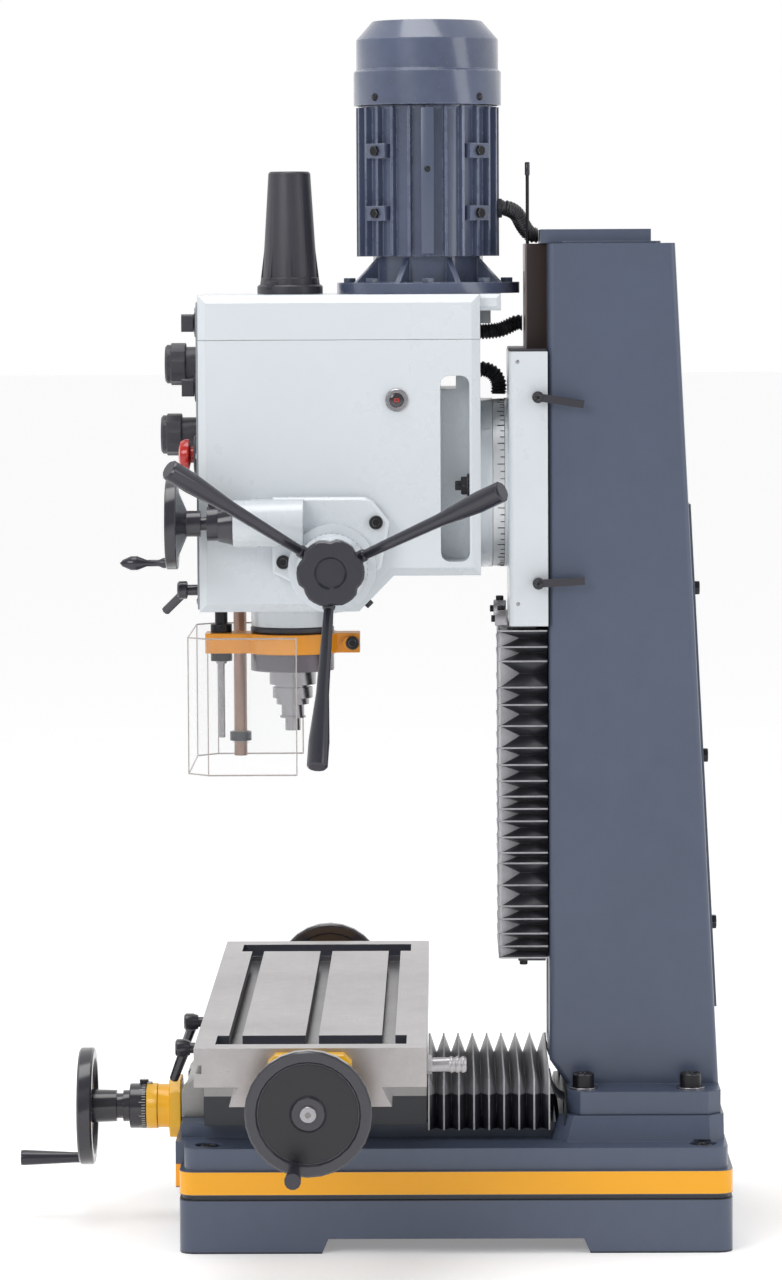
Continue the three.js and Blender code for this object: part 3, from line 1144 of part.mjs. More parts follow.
// Fine feed wheel with its worm shaft and dial. Local frame: operator's side towards +Z
function fineFeedWheel() {
  const f = FINE_FEED;
  const z = (y) => f.rimFront - y;
  const rimBack = z(f.rimFront + f.rim);
  const web = f.rim / 3;
  const inner = f.radius - f.rim;
  return join(
    cut(turned([
      [0, z(f.shaftEnd)], [f.shaftRadius, z(f.shaftEnd)], [f.shaftRadius, z(f.collarEnd) - f.dialGap],
      [f.dialRadius + OVERRUN, z(f.collarEnd) - f.dialGap], [f.dialRadius - OVERRUN, z(f.collarEnd)],
      [f.collarRadius, z(f.collarEnd)], [f.collarRadius, z(f.collarFront)], [f.shaftRadius, z(f.collarFront)],
      [f.shaftRadius, z(f.hubEnd)], [f.hubRadius, z(f.hubEnd)], [f.hubRadius, z(f.coneEnd)], [inner, rimBack],
      [f.radius - OVERRUN / 2, rimBack], [f.radius, rimBack + OVERRUN / 2], [f.radius, -OVERRUN / 2],
        [f.radius - OVERRUN / 2, 0],
      [inner, 0], [inner - web, -web], [f.hubRadius, -web], [f.shaftRadius, 0], [0, 0],
    ], FINE), rod(flats(FINE_GRIP.neckRadius + SEAT_GAP, TINY), -f.rim - OVERRUN, OVERRUN,
      TINY).translate(0, FINE_GRIP.z, 0)),
    rod(f.bladeRadius, 0, THUMB.height, TINY).rotateX(-QUARTER_TURN)
      .translate(0, f.collarRadius - OVERRUN, (z(f.collarEnd) + z(f.collarFront)) / 2),
  );
}

function fineFeedGrip() {
  const g = FINE_GRIP;
  const e = g.neckRadius;
  const start = SEAT_GAP;
  const at = (share) => start + g.length * share;
  return turned([
    [0, -FINE_FEED.rim], [e, -FINE_FEED.rim], [e, start], [e + OVERRUN, start], [e + OVERRUN, start + e],
      [e, at(BULB_SHARES[0])],
    [e, at(BULB_SHARES[1])], [g.bulbRadius, at(BULB_SHARES[2])], [g.bulbRadius, at(BULB_SHARES[3])],
    [e, at(BULB_SHARES[4])], [0, at(1)],
  ], SMALL).translate(0, g.z, 0);
}

// Motor: flange, neck with gussets and finned body. Local frame: axis along +Z at the origin
function motorFrame() {
  const m = MOTOR;
  const z0 = HEAD.top + SEAT_GAP;
  const z1 = z0 + m.flangeThickness;
  const outline = [];
  for (let k = 0; k < m.finCount; k++) {
    const middle = (2 * Math.PI * k) / m.finCount;
    const half = m.finWidth / 2;
    outline.push([m.bodyRadius, middle - Math.PI / m.finCount], [m.bodyRadius, middle - half / m.bodyRadius],
      [m.finRadius, middle - half / m.finRadius], [m.finRadius, middle + half / m.finRadius],
      [m.bodyRadius, middle + half / m.bodyRadius]);
  }
  const fins = prism(outline.map(([r, a]) => [r * Math.cos(a), r * Math.sin(a)]), m.neckTop, m.finTop);
  const lugs = m.lugZs.flatMap((z) => [0, 1, 2, 3].map((k) =>
    box(m.lugInner, m.lugOuter, -m.lugHalfWidth, m.lugHalfWidth, z - m.lugHeight / 2, z + m.lugHeight / 2)
      .rotateZ((k + 1 / 2) * QUARTER_TURN)));
  const gussets = Array.from({ length: m.gussets }, (_, k) =>
    prismX([[m.neckRadius - OVERRUN, z1 - OVERRUN], [m.flangeRadius - m.flangeThickness, z1 - OVERRUN],
      [m.neckRadius - OVERRUN,
      m.neckTop]], -m.finWidth, m.finWidth).rotateZ((k * 2 * Math.PI) / m.gussets + Math.PI / m.gussets));
  return cut(
    join(
      rod(m.flangeRadius, z0, z1, FINE), rod(m.neckRadius, z1 - OVERRUN, m.neckTop + OVERRUN, ROUND), fins,
      rod(m.bodyRadius + OVERRUN, m.finTop - OVERRUN, FAN_COVER.bottom - SEAT_GAP, FINE), ...lugs, ...gussets,
    ),
    rod(m.shaftRadius + RUN_GAP, m.finTop - m.sleeveDepth, FAN_COVER.bottom, SMALL),
  );
}

function fanCover() {
  const f = FAN_COVER;
  const s = f.shell;
  const shell = turned([
    [f.lowRadius - s, f.bottom], [f.lowRadius, f.bottom], [f.lowRadius, f.step - s], [f.midRadius, f.step],
    [f.midRadius, f.shoulder], [f.topRadius, f.top], [0, f.top], [0, f.top - s],
      [f.topRadius - s / 2, f.top - s],
    [f.midRadius - s, f.shoulder - s / 2], [f.midRadius - s, f.step - s], [f.lowRadius - s, f.step - 2 * s],
    [f.lowRadius - s, f.bottom],
  ], FINE);
  const slots = Array.from({ length: f.slots }, (_, k) =>
    box(f.slotInner, f.slotOuter, -f.slotWidth / 2, f.slotWidth / 2, f.top - 2 * s, f.top + OVERRUN)
      .rotateZ((2 * Math.PI * k) / f.slots));
  const lugs = [0, 1, 2, 3].map((k) =>
    box(f.lugInner, f.lowRadius - s / 2, -2 * s, 2 * s, f.bottom,
      f.bottom + f.lugHeight).rotateZ((k + 1 / 2) * QUARTER_TURN));
  return join(cut(shell, ...slots), ...lugs);
}

function coolingFan() {
  const f = FAN;
  const z1 = f.bottom + f.height;
  const blades = Array.from({ length: f.blades }, (_, k) =>
    box(f.hubRadius - OVERRUN, f.radius, -f.blade / 2, f.blade / 2, f.bottom,
      z1).rotateZ((2 * Math.PI * k) / f.blades));
  return join(
    rod(f.hubRadius, f.bottom, z1, ROUND), ...blades, rod(f.radius, f.bottom, f.bottom + f.blade, FINE),
    rod(MOTOR.shaftRadius, MOTOR.finTop - MOTOR.sleeveDepth + SEAT_GAP, f.bottom + OVERRUN, SMALL),
  );
}

function drawbarCap() {
  const c = DRAWBAR_CAP;
  const z0 = HEAD.top + SEAT_GAP;
  const z1 = z0 + c.flangeHeight;
  const wall = turned([
    [c.footRadius - c.shell, z0], [c.flangeRadius, z0], [c.flangeRadius, z1 - OVERRUN],
      [c.flangeRadius - OVERRUN, z1],
    [c.footRadius, z1], [c.topRadius, c.top - OVERRUN], [c.topRadius - OVERRUN, c.top], [0, c.top],
      [0, c.top - c.shell],
    [c.topRadius - c.shell, c.top - c.shell], [c.footRadius - c.shell, z0],
  ], FINE);
  const ribs = Array.from({ length: c.ribs }, (_, k) =>
    prismX([[c.footRadius - c.shell / 2, z1 - OVERRUN], [c.footRadius + c.ribDepth, z1 - OVERRUN],
      [c.ribReach, c.ribTop]],
      -c.ribDepth, c.ribDepth).rotateZ((2 * Math.PI * k) / c.ribs));
  return join(wall, ...ribs);
}

// Controls on the head's front. Local frame: out of the panel along +Z
function controlPanel() {
  const p = PANEL;
  const back = HEAD.front - SEAT_GAP;
  return cut(prismY(rounded(-p.halfWidth, p.halfWidth, p.bottom, p.top, HEAD.edge), back - p.thickness, back),
    ...buttonWells());
}
const panelFace = HEAD.front - SEAT_GAP - PANEL.thickness - SEAT_GAP;

function speedKnob(reach) {
  const k = SPEED_KNOB;
  const gripStart = reach - k.cap - k.grip;
  const steps = 2 * k.lobes;
  const outline = Array.from({ length: steps }, (_, i) => {
    const angle = (2 * Math.PI * (i + 1 / 2)) / steps;
    const r = k.radius - (i % 2) * k.lobeDepth;
    return [r * Math.cos(angle), r * Math.sin(angle)];
  });
  return join(
    turned([[0, 0], [k.flangeRadius, 0], [k.flangeRadius, k.flange / 2], [k.neckRadius, k.flange],
      [k.neckRadius, gripStart + OVERRUN], [0, gripStart + OVERRUN]], ROUND),
    prism(outline, gripStart, reach - k.cap, OVERRUN / 2),
    turned([[0, reach - k.cap - OVERRUN], [k.radius - OVERRUN, reach - k.cap - OVERRUN],
      [k.radius - OVERRUN, reach - OVERRUN],
      [k.neckRadius, reach], [0, reach]], ROUND),
  );
}

function pushSwitch() {
  const s = SWITCH;
  return join(
    prism(chamfered(-s.halfWidth, s.halfWidth, -s.height / 2, s.height / 2, OVERRUN), s.travel,
      s.travel + s.depth),
    rod(s.stemRadius, -OVERRUN, s.travel + OVERRUN, SMALL),
  );
}

function stopButton() {
  const b = STOP_BUTTON;
  const top = b.stem + b.crown;
  return turned([
    [0, -OVERRUN], [b.stemRadius, -OVERRUN], [b.stemRadius, b.stem], [b.radius, b.stem + OVERRUN],
      [b.radius, top - b.crown / 2],
    [b.radius - OVERRUN, top - OVERRUN], [b.stemRadius, top], [0, top],
  ], ROUND);
}

function sightGlass() {
  const s = SIGHT;
  return turned([
    [0, 0], [s.radius, 0], [s.radius, s.height - OVERRUN / 2], [s.radius - OVERRUN / 2, s.height],
      [s.lensRadius, s.height],
    [s.lensRadius, s.height / 2], [0, s.height / 2],
  ], ROUND);
}

// Chuck guard: one bent sheet round the spindle, hung on its post
function guardPost() {
  const g = GUARD_POST;
  return rodZ(g.radius, g.bottom, HEAD.bottom - SEAT_GAP, g.x, g.y, SMALL);
}

function chuckGuard() {
  const g = GUARD;
  const path = (inset) => [
    [g.halfWidth - inset, g.back], [g.halfWidth - inset, g.front + g.bevel + inset * BEND_SHARE],
    [g.halfWidth - g.bevel - inset * BEND_SHARE, g.front + inset],
  ];
  const side = (inset) => [...path(inset), ...path(inset).map(([x, y]) => [-x, y]).reverse()];
  const outline = [...side(0), ...side(g.sheet).reverse()];
  const post = GUARD_POST;
  const clip = (z) => cut(
    rodZ(post.radius + SEAT_GAP + g.sheet, z, z + g.tabHeight, post.x, post.y, SMALL),
    boreZ(post.radius + SEAT_GAP, z - OVERRUN, z + g.tabHeight + OVERRUN, post.x, post.y, SMALL),
  );
  return join(prism(outline, g.bottom, g.top), clip(g.bottom + g.tabHeight), clip(g.top - 2 * g.tabHeight));
}

// Corrugated hose round a route, with its bore
function hose(route) {
  const h = HOSE;
  const path = new THREE.CatmullRomCurve3(route.map(([x, y, z]) => new THREE.Vector3(x, y, z)));
  const length = path.getLength();
  const ribs = Math.round(length / h.pitch);
  const steps = 2 * ribs;
  const frames = path.computeFrenetFrames(steps, false);
  const ring = (i, radius) => Array.from({ length: 8 }, (_, k) => {
    const angle = (2 * Math.PI * k) / 8;
    return path.getPointAt(i / steps)
      .addScaledVector(frames.normals[i], radius * Math.cos(angle))
      .addScaledVector(frames.binormals[i], radius * Math.sin(angle));
  });
  const rings = [];
  for (let i = 0; i <= steps; i++) rings.push(ring(i, i % 2 ? h.valley : h.radius));
  for (let i = steps; i >= 0; i -= Math.min(4, i || 1)) rings.push(ring(i, h.bore));
  rings.push(ring(0, h.radius));
  return skin(rings, []);
}

// Assembly: each group is one moving body, hung from the one that carries it
function group(parent) {
  const made = new THREE.Group();
  parent.add(made);
  return made;
}

function at(mesh, x, y, z, rx = 0, ry = 0, rz = 0) {
  mesh.position.set(x, y, z);
  mesh.rotation.set(rx, ry, rz);
  return mesh;
}

const machine = new THREE.Group();
const base = group(machine);
base.add(
  piece("base_casting", BLUE_GREY, baseCasting()),
  piece("column", BLUE_GREY, columnCasting()),
  piece("column_top_cap", BLUE_GREY, columnCap()),
  piece("column_rear_cover", BLUE_GREY, rearCover()),
  piece("cross_feed_bracket", YELLOW, crossBracket()),
  piece("way_cover", RUBBER, wayCover()),
  piece("bed_cover", RUBBER, bedCover()),
);

// Lift drive
const liftScrewBody = group(base);
liftScrewBody.add(piece("lift_leadscrew", STEEL, liftScrew()));
const crankBody = group(base);
crankBody.add(at(piece("lift_crank", BLACK, liftCrank()), 0, LIFT_SCREW.y, LIFT_CRANK.z, 0, -QUARTER_TURN,
  -QUARTER_TURN));

// Cross feed
const crossScrewBody = group(base);
const crossWheelY = crossWheelFace + WHEEL.frontRim / 2;
crossScrewBody.add(
  piece("cross_leadscrew", STEEL, crossScrew()),
  at(piece("cross_handwheel", BLACK, crossWheel()), 0, crossWheelY, CROSS_SCREW.z, QUARTER_TURN, 0,
    CROSS_GRIP_TURN),
);
group(crossScrewBody).add(
  at(piece("cross_grip", BLACK, wheelGrip(WHEEL.frontRim / 2)), 0, crossWheelY, CROSS_SCREW.z,
    QUARTER_TURN, 0, CROSS_GRIP_TURN),
);
group(crossScrewBody).add(piece("cross_dial", BLACK, crossDial()));

// Saddle with its clamp levers
const saddle = group(base);
saddle.add(piece("saddle", GROUND_IRON, saddleCasting()));
const leverFace = SADDLE.front - SEAT_GAP;
SADDLE_LEVERS.forEach(({ name, x, z, turn }) => {
  group(saddle).add(at(piece(name, BLACK, clampLever(SADDLE_CLAMP)), x, leverFace, z, QUARTER_TURN, 0, turn));
});

// Table with its screw, wheels and grips
const table = group(saddle);
table.add(
  piece("table", GROUND_IRON, tableCasting()),
  piece("table_bracket_right", YELLOW, tableBracket()),
  at(piece("table_bracket_left", YELLOW, tableBracket()), 0, 2 * TABLE.y, 0, 0, 0, HALF_TURN),
  at(piece("coolant_hose_barb", BRIGHT, hoseBarb()), TABLE.halfLength - BARB.inset, 0, BARB.z),
);
const tableScrewBody = group(table);
tableScrewBody.add(piece("table_leadscrew", STEEL, tableScrew()));
[["right", 1], ["left", -1]].forEach(([side, sign]) => {
  const place = (mesh) => at(mesh, sign * wheelX, TABLE.y, TABLE_SCREW.z, 0, sign * QUARTER_TURN,
    sign * GRIP_TURN);
  tableScrewBody.add(place(piece(`${side}_handwheel`, BLACK, tableWheel())));
  group(tableScrewBody).add(place(piece(`${side}_grip`, BLACK, wheelGrip(WHEEL.rim / 2))));
});

// Lift slide
const slide = group(base);
slide.position.z = headRise;
slide.add(piece("lift_slide", HEAD_WHITE, liftSlide()), piece("swivel_scale_ring", GROUND_IRON, scaleRing()));
SLIDE_LEVERS.forEach(({ name, z, turn }) => {
  group(slide).add(
    at(piece(name, BLACK, slideLever()), SLIDE.halfWidth + SEAT_GAP, SLIDE_LEVER.y, z, 0, QUARTER_TURN,
      turn));
});

// Head
const head = group(slide);
head.add(
  piece("head_casting", HEAD_WHITE, headCasting()),
  piece("head_lid", HEAD_WHITE, headLid()),
  at(piece("motor_frame", BLUE_GREY, motorFrame()), 0, MOTOR.y, 0),
  at(piece("fan_cover", BLUE_GREY, fanCover()), 0, MOTOR.y, 0),
  at(piece("drawbar_cap", BAKELITE, drawbarCap()), 0, SPINDLE_Y, 0),
  piece("control_panel", GROUND_IRON, controlPanel()),
  piece("feed_housing", HEAD_WHITE, feedHousing()),
  at(piece("oil_sight_glass", STEEL, sightGlass()), HEAD.halfWidth + SEAT_GAP, SIGHT.y, SIGHT.z, 0,
    QUARTER_TURN, 0),
  piece("guard_post", STEEL, guardPost()),
  ...Object.entries(HOSE_ROUTES).map(([name, route]) => piece(name, RUBBER, hose(route))),
);
group(head).add(at(piece("cooling_fan", BAKELITE, coolingFan()), 0, MOTOR.y, 0));
group(head).add(piece("chuck_guard", CLEAR, chuckGuard()));
const front = (name, finish, shape, x, z) =>
  group(head).add(at(piece(name, finish, shape), x, panelFace, z, QUARTER_TURN, 0, 0));
front("upper_speed_knob", BAKELITE, speedKnob(SPEED_KNOB.reach[0]), SPEED_KNOB.x, SPEED_KNOB.zs[0]);
front("lower_speed_knob", BAKELITE, speedKnob(SPEED_KNOB.reach[1]), SPEED_KNOB.x, SPEED_KNOB.zs[1]);
front("upper_switch", BAKELITE, pushSwitch(), UPPER_SWITCH.x, UPPER_SWITCH.z);
front("lower_switch", BAKELITE, pushSwitch(), LOWER_SWITCH.x, LOWER_SWITCH.z);
front("emergency_stop", RED, stopButton(), STOP_BUTTON.x, STOP_BUTTON.z);
group(head).add(
  at(piece("quill_lock_lever", BLACK, clampLever(QUILL_CLAMP)), QUILL_LOCK.x, panelFace, QUILL_LOCK.z,
    QUARTER_TURN, 0, QUILL_LOCK.turn),
);

// Feed
const feed = group(head);
feed.add(at(piece("feed_hub", HEAD_WHITE, feedHub()), 0, FEED.y, FEED.z, 0, QUARTER_TURN));
[0, 1, 2].forEach((k) => feed.add(placeLever(piece(`feed_lever_${k + 1}`, BAKELITE, feedLever()), k)));
group(feed).add(
  at(piece("star_knob", BAKELITE, starKnob()), coneEnd + SEAT_GAP, FEED.y, FEED.z, 0, QUARTER_TURN, 0));
const fineFeed = group(head);
const placeFine = (mesh) =>
  at(mesh, FEED_HOUSING.wormX, FINE_FEED.rimFront, FEED_HOUSING.wormZ, QUARTER_TURN, 0, 0);
fineFeed.add(placeFine(piece("fine_feed_wheel", BLACK, fineFeedWheel())));
group(fineFeed).add(placeFine(piece("fine_feed_grip", BLACK, fineFeedGrip())));

// Quill and spindle
const quillBody = group(head);
quillBody.add(
  piece("quill", STEEL, quill()),
  piece("depth_stop_clamp", ORANGE, stopClamp()),
  at(piece("depth_stop_rod", STEEL, stopRod()), 0, STOP_ROD.y, 0),
);
group(quillBody).add(piece("spindle", STEEL, spindle()));

// The origin is the middle of the machine's footprint, on the floor
const extent = new THREE.Box3().setFromObject(machine);
const middle = extent.getCenter(new THREE.Vector3());
machine.position.set(-middle.x, -middle.y, -extent.min.z);

export default machine;
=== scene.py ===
"""Bench drilling and milling machine: finishes, fasteners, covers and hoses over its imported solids."""

import math

import bmesh
import bpy
import numpy as np
from mathutils import Matrix, Vector


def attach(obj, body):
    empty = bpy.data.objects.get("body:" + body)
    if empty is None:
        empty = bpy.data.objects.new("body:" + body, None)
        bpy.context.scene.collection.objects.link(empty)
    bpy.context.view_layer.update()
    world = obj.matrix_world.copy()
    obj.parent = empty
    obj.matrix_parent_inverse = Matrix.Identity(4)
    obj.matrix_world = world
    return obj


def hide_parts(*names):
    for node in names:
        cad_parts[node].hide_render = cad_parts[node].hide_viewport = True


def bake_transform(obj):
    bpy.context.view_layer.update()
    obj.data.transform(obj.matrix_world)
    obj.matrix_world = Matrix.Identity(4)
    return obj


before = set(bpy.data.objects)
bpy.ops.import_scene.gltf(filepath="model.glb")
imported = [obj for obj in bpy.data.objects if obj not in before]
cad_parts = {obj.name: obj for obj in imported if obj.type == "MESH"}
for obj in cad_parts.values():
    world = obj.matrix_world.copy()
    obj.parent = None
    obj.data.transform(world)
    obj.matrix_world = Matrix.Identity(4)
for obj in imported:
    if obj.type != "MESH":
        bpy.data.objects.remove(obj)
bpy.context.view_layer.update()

MM = 0.001
# The sizes below are in millimetres from the middle of the base, which stands this far behind the origin
FRAME_SHIFT = 93.15
# Faces that turn less than this from one to the next are shaded as one round surface
ROUND_ANGLE = math.radians(38)


def spot(x, y, z):
    """A point of the machine, given in millimetres from the middle of its base."""
    return Vector((x, y + FRAME_SHIFT, z)) * MM


# Camera, floor and lights
# The camera stands on the machine's right, at this place in millimetres from the middle of the base
CAMERA_PLACE = (5446, -8, 1065)
# Its lens and sensor width in millimetres, and how far it sees in metres
CAMERA_LENS, CAMERA_SENSOR, CAMERA_REACH = 139.25, 36, 60
PITCH_DOWN, YAW, ROLL = math.radians(4.42), math.radians(0.64), math.radians(-0.3)

# Half the floor's width in metres, and its paper: near white, with a faint glow of its own
FLOOR_REACH = 40
PAPER, PAPER_GLOW, PAPER_ROUGHNESS, PAPER_SHINE = 0.93, 0.24, 0.85, 0.1

# The room's light falls from full behind the machine to dim on the camera's side
ROOM_FALL_START, ROOM_FALL_END = -0.15, 0.6
ROOM_FULL, ROOM_DIM = 1.0, 0.34

# Each lamp: where it hangs and what it points at, in metres, then its width, height and power
LAMPS = {
    "wide_front_light": ((3.6, -2.2, 2.6), (0, 0, 0.7), 2.2, 1.6, 60),
    "rear_side_light": ((2.2, 3.4, 2.0), (0, 0.1, 0.7), 1.6, 2.4, 30),
    "top_light": ((0.4, -0.4, 3.6), (0, 0, 0.6), 1.6, 1.6, 30),
}


def set_camera():
    camera = bpy.data.objects.new("photo_camera", bpy.data.cameras.new("photo_camera"))
    bpy.context.scene.collection.objects.link(camera)
    camera.data.lens = CAMERA_LENS
    camera.data.sensor_width = CAMERA_SENSOR
    camera.data.clip_end = CAMERA_REACH
    camera.location = spot(*CAMERA_PLACE)
    level = math.cos(PITCH_DOWN)
    forward = Vector((-level * math.cos(YAW), -level * math.sin(YAW), -math.sin(PITCH_DOWN)))
    aimed = forward.to_track_quat("-Z", "Y").to_matrix()
    camera.rotation_euler = (aimed @ Matrix.Rotation(ROLL, 3, "Z")).to_euler()
    bpy.context.scene.camera = camera


def lay_floor():
    reach = FLOOR_REACH
    mesh = bpy.data.meshes.new("studio_floor")
    corners = [(-reach, -reach, 0), (reach, -reach, 0), (reach, reach, 0), (-reach, reach, 0)]
    mesh.from_pydata(corners, [], [(0, 1, 2, 3)])
    floor = bpy.data.objects.new("studio_floor", mesh)
    bpy.context.scene.collection.objects.link(floor)
    material = bpy.data.materials.new("studio_paper")
    material.use_nodes = True
    shader = material.node_tree.nodes["Principled BSDF"]
    shader.inputs["Base Color"].default_value = (PAPER, PAPER, PAPER, 1)
    shader.inputs["Emission Color"].default_value = (1, 1, 1, 1)
    shader.inputs["Emission Strength"].default_value = PAPER_GLOW
    shader.inputs["Roughness"].default_value = PAPER_ROUGHNESS
    shader.inputs["Specular IOR Level"].default_value = PAPER_SHINE
    mesh.materials.append(material)


def hang_light(name, place, aim, width, height, power):
    light = bpy.data.lights.new(name, "AREA")
    light.shape = "RECTANGLE"
    light.size, light.size_y = width, height
    light.energy = power
    lamp = bpy.data.objects.new(name, light)
    bpy.context.scene.collection.objects.link(lamp)
    lamp.location = place
    lamp.rotation_euler = (Vector(aim) - Vector(place)).to_track_quat("-Z", "Y").to_euler()


def light_studio():
    bpy.context.scene.view_settings.view_transform = "Standard"
    world = bpy.data.worlds.new("studio")
    bpy.context.scene.world = world
    world.use_nodes = True
    tree = world.node_tree
    room = tree.nodes["Background"]
    room.inputs["Color"].default_value = (1, 1, 1, 1)
    ahead = tree.nodes.new("ShaderNodeSeparateXYZ")
    tree.links.new(tree.nodes.new("ShaderNodeTexCoord").outputs["Generated"], ahead.inputs[0])
    fall = tree.nodes.new("ShaderNodeMapRange")
    fall.inputs["From Min"].default_value = ROOM_FALL_START
    fall.inputs["From Max"].default_value = ROOM_FALL_END
    fall.inputs["To Min"].default_value = ROOM_FULL
    fall.inputs["To Max"].default_value = ROOM_DIM
    tree.links.new(ahead.outputs["X"], fall.inputs["Value"])
    tree.links.new(fall.outputs["Result"], room.inputs["Strength"])
    for name, lamp in LAMPS.items():
        hang_light(name, *lamp)


# Finish effects that several materials share
def group_shell(name, inputs, outputs):
    """An empty node group with its named sockets: returns it with its input and output nodes."""
    group = bpy.data.node_groups.new(name, "ShaderNodeTree")
    for label, kind, value in inputs:
        socket = group.interface.new_socket(label, in_out="INPUT", socket_type=kind)
        socket.default_value = value
    for label, kind in outputs:
        group.interface.new_socket(label, in_out="OUTPUT", socket_type=kind)
    return group, group.nodes.new("NodeGroupInput"), group.nodes.new("NodeGroupOutput")


def math_node(group, operation, *values, clamp=False):
    node = group.nodes.new("ShaderNodeMath")
    node.operation = operation
    node.use_clamp = clamp
    for index, value in enumerate(values):
        if isinstance(value, (int, float)):
            node.inputs[index].default_value = value
        else:
            group.links.new(value, node.inputs[index])
    return node.outputs[0]


def mix_colours(group, share, first, second):
    node = group.nodes.new("ShaderNodeMix")
    node.data_type = "RGBA"
    for socket, value in ((node.inputs[0], share), (node.inputs[6], first), (node.inputs[7], second)):
        if isinstance(value, (int, float, tuple)):
            socket.default_value = value
        else:
            group.links.new(value, socket)
    return node.outputs[2]


def noise(group, coordinates, scale, detail, roughness=0.5):
    node = group.nodes.new("ShaderNodeTexNoise")
    node.inputs["Detail"].default_value = detail
    node.inputs["Roughness"].default_value = roughness
    group.links.new(coordinates, node.inputs["Vector"])
    if isinstance(scale, (int, float)):
        node.inputs["Scale"].default_value = scale
    else:
        group.links.new(scale, node.inputs["Scale"])
    return node.outputs["Fac"]


# Full height in metres of the relief that a depth of one gives
SKIN_HEIGHT, STREAK_HEIGHT = 0.0006, 0.0004


def relief(group, given, height, distance):
    """The normal of a surface raised by a height, as deep as the group's Depth says."""
    bump = group.nodes.new("ShaderNodeBump")
    bump.inputs["Distance"].default_value = distance
    group.links.new(given.outputs["Depth"], bump.inputs["Strength"])
    group.links.new(height, bump.inputs["Height"])
    group.links.new(given.outputs["Normal"], bump.inputs["Normal"])
    return bump.outputs["Normal"]


def build_uneven_coat():
    """Slow drift of a sprayed or moulded surface's tone and gloss."""
    group, given, made = group_shell("Uneven coat",
        [("Colour", "NodeSocketColor", (0.5, 0.5, 0.5, 1)), ("Shade", "NodeSocketColor", (0.4, 0.4, 0.4, 1)),
         ("Amount", "NodeSocketFloat", 0.3), ("Gloss", "NodeSocketFloat", 0.4),
         ("Gloss drift", "NodeSocketFloat", 0.1), ("Scale", "NodeSocketFloat", 6)],
        [("Colour", "NodeSocketColor"), ("Roughness", "NodeSocketFloat")])
    place = group.nodes.new("ShaderNodeTexCoord").outputs["Object"]
    times_finer, wide_share, fine_share = 9, 0.65, 0.35
    gain, offset = 2.4, -0.7
    wide = noise(group, place, given.outputs["Scale"], detail=3)
    fine_scale = math_node(group, "MULTIPLY", given.outputs["Scale"], times_finer)
    fine = noise(group, place, fine_scale, detail=4, roughness=0.6)
    wide_part = math_node(group, "MULTIPLY", wide, wide_share)
    both = math_node(group, "ADD", wide_part, math_node(group, "MULTIPLY", fine, fine_share))
    contrast = math_node(group, "MULTIPLY_ADD", both, gain, offset, clamp=True)
    share = math_node(group, "MULTIPLY", contrast, given.outputs["Amount"], clamp=True)
    mottled = mix_colours(group, share, given.outputs["Colour"], given.outputs["Shade"])
    group.links.new(mottled, made.inputs["Colour"])
    sway = math_node(group, "SUBTRACT", both, 0.5)
    drift = math_node(group, "MULTIPLY", sway, given.outputs["Gloss drift"])
    gloss = math_node(group, "ADD", given.outputs["Gloss"], drift, clamp=True)
    group.links.new(gloss, made.inputs["Roughness"])
    return group


def build_edge_wear_and_highlight():
    """Edge mask from the surface turning under a small radius, for rubbed wear and for painted highlights."""
    group, given, made = group_shell("Edge wear and highlight",
        [("Radius", "NodeSocketFloat", 0.001), ("Reach", "NodeSocketFloat", 0.5)],
        [("Mask", "NodeSocketFloat"), ("Soft normal", "NodeSocketVector")])
    bevel = group.nodes.new("ShaderNodeBevel")
    bevel.samples = 4
    group.links.new(given.outputs["Radius"], bevel.inputs["Radius"])
    geometry = group.nodes.new("ShaderNodeNewGeometry")
    turn = group.nodes.new("ShaderNodeVectorMath")
    turn.operation = "DOT_PRODUCT"
    group.links.new(bevel.outputs["Normal"], turn.inputs[0])
    group.links.new(geometry.outputs["Normal"], turn.inputs[1])
    edge_gain, patch_scale, patch_level = 6, 90, 0.47
    patch_strength, even_strength = 0.6, 0.3
    turned_away = math_node(group, "SUBTRACT", 1, turn.outputs["Value"])
    edge = math_node(group, "MULTIPLY", turned_away, edge_gain, clamp=True)
    place = group.nodes.new("ShaderNodeTexCoord").outputs["Object"]
    patchy = noise(group, place, patch_scale, detail=4, roughness=0.65)
    patches = math_node(group, "GREATER_THAN", patchy, patch_level)
    patchiness = math_node(group, "MULTIPLY_ADD", patches, patch_strength, even_strength)
    # Patchy edge mask: rubbed wear on some finishes, a painted highlight on others
    lit_and_rubbed = math_node(group, "MULTIPLY", patchiness, edge)
    mask = math_node(group, "MULTIPLY", lit_and_rubbed, given.outputs["Reach"], clamp=True)
    group.links.new(mask, made.inputs["Mask"])
    group.links.new(bevel.outputs["Normal"], made.inputs["Soft normal"])
    return group


def build_fine_skin():
    """Fine relief: orange peel, cast skin or moulded grain."""
    group, given, made = group_shell("Fine skin",
        [("Scale", "NodeSocketFloat", 300), ("Depth", "NodeSocketFloat", 0.1),
         ("Normal", "NodeSocketVector", (0, 0, 0))],
        [("Normal", "NodeSocketVector")])
    place = group.nodes.new("ShaderNodeTexCoord").outputs["Object"]
    height = noise(group, place, given.outputs["Scale"], detail=3, roughness=0.55)
    group.links.new(relief(group, given, height, SKIN_HEIGHT), made.inputs["Normal"])
    return group


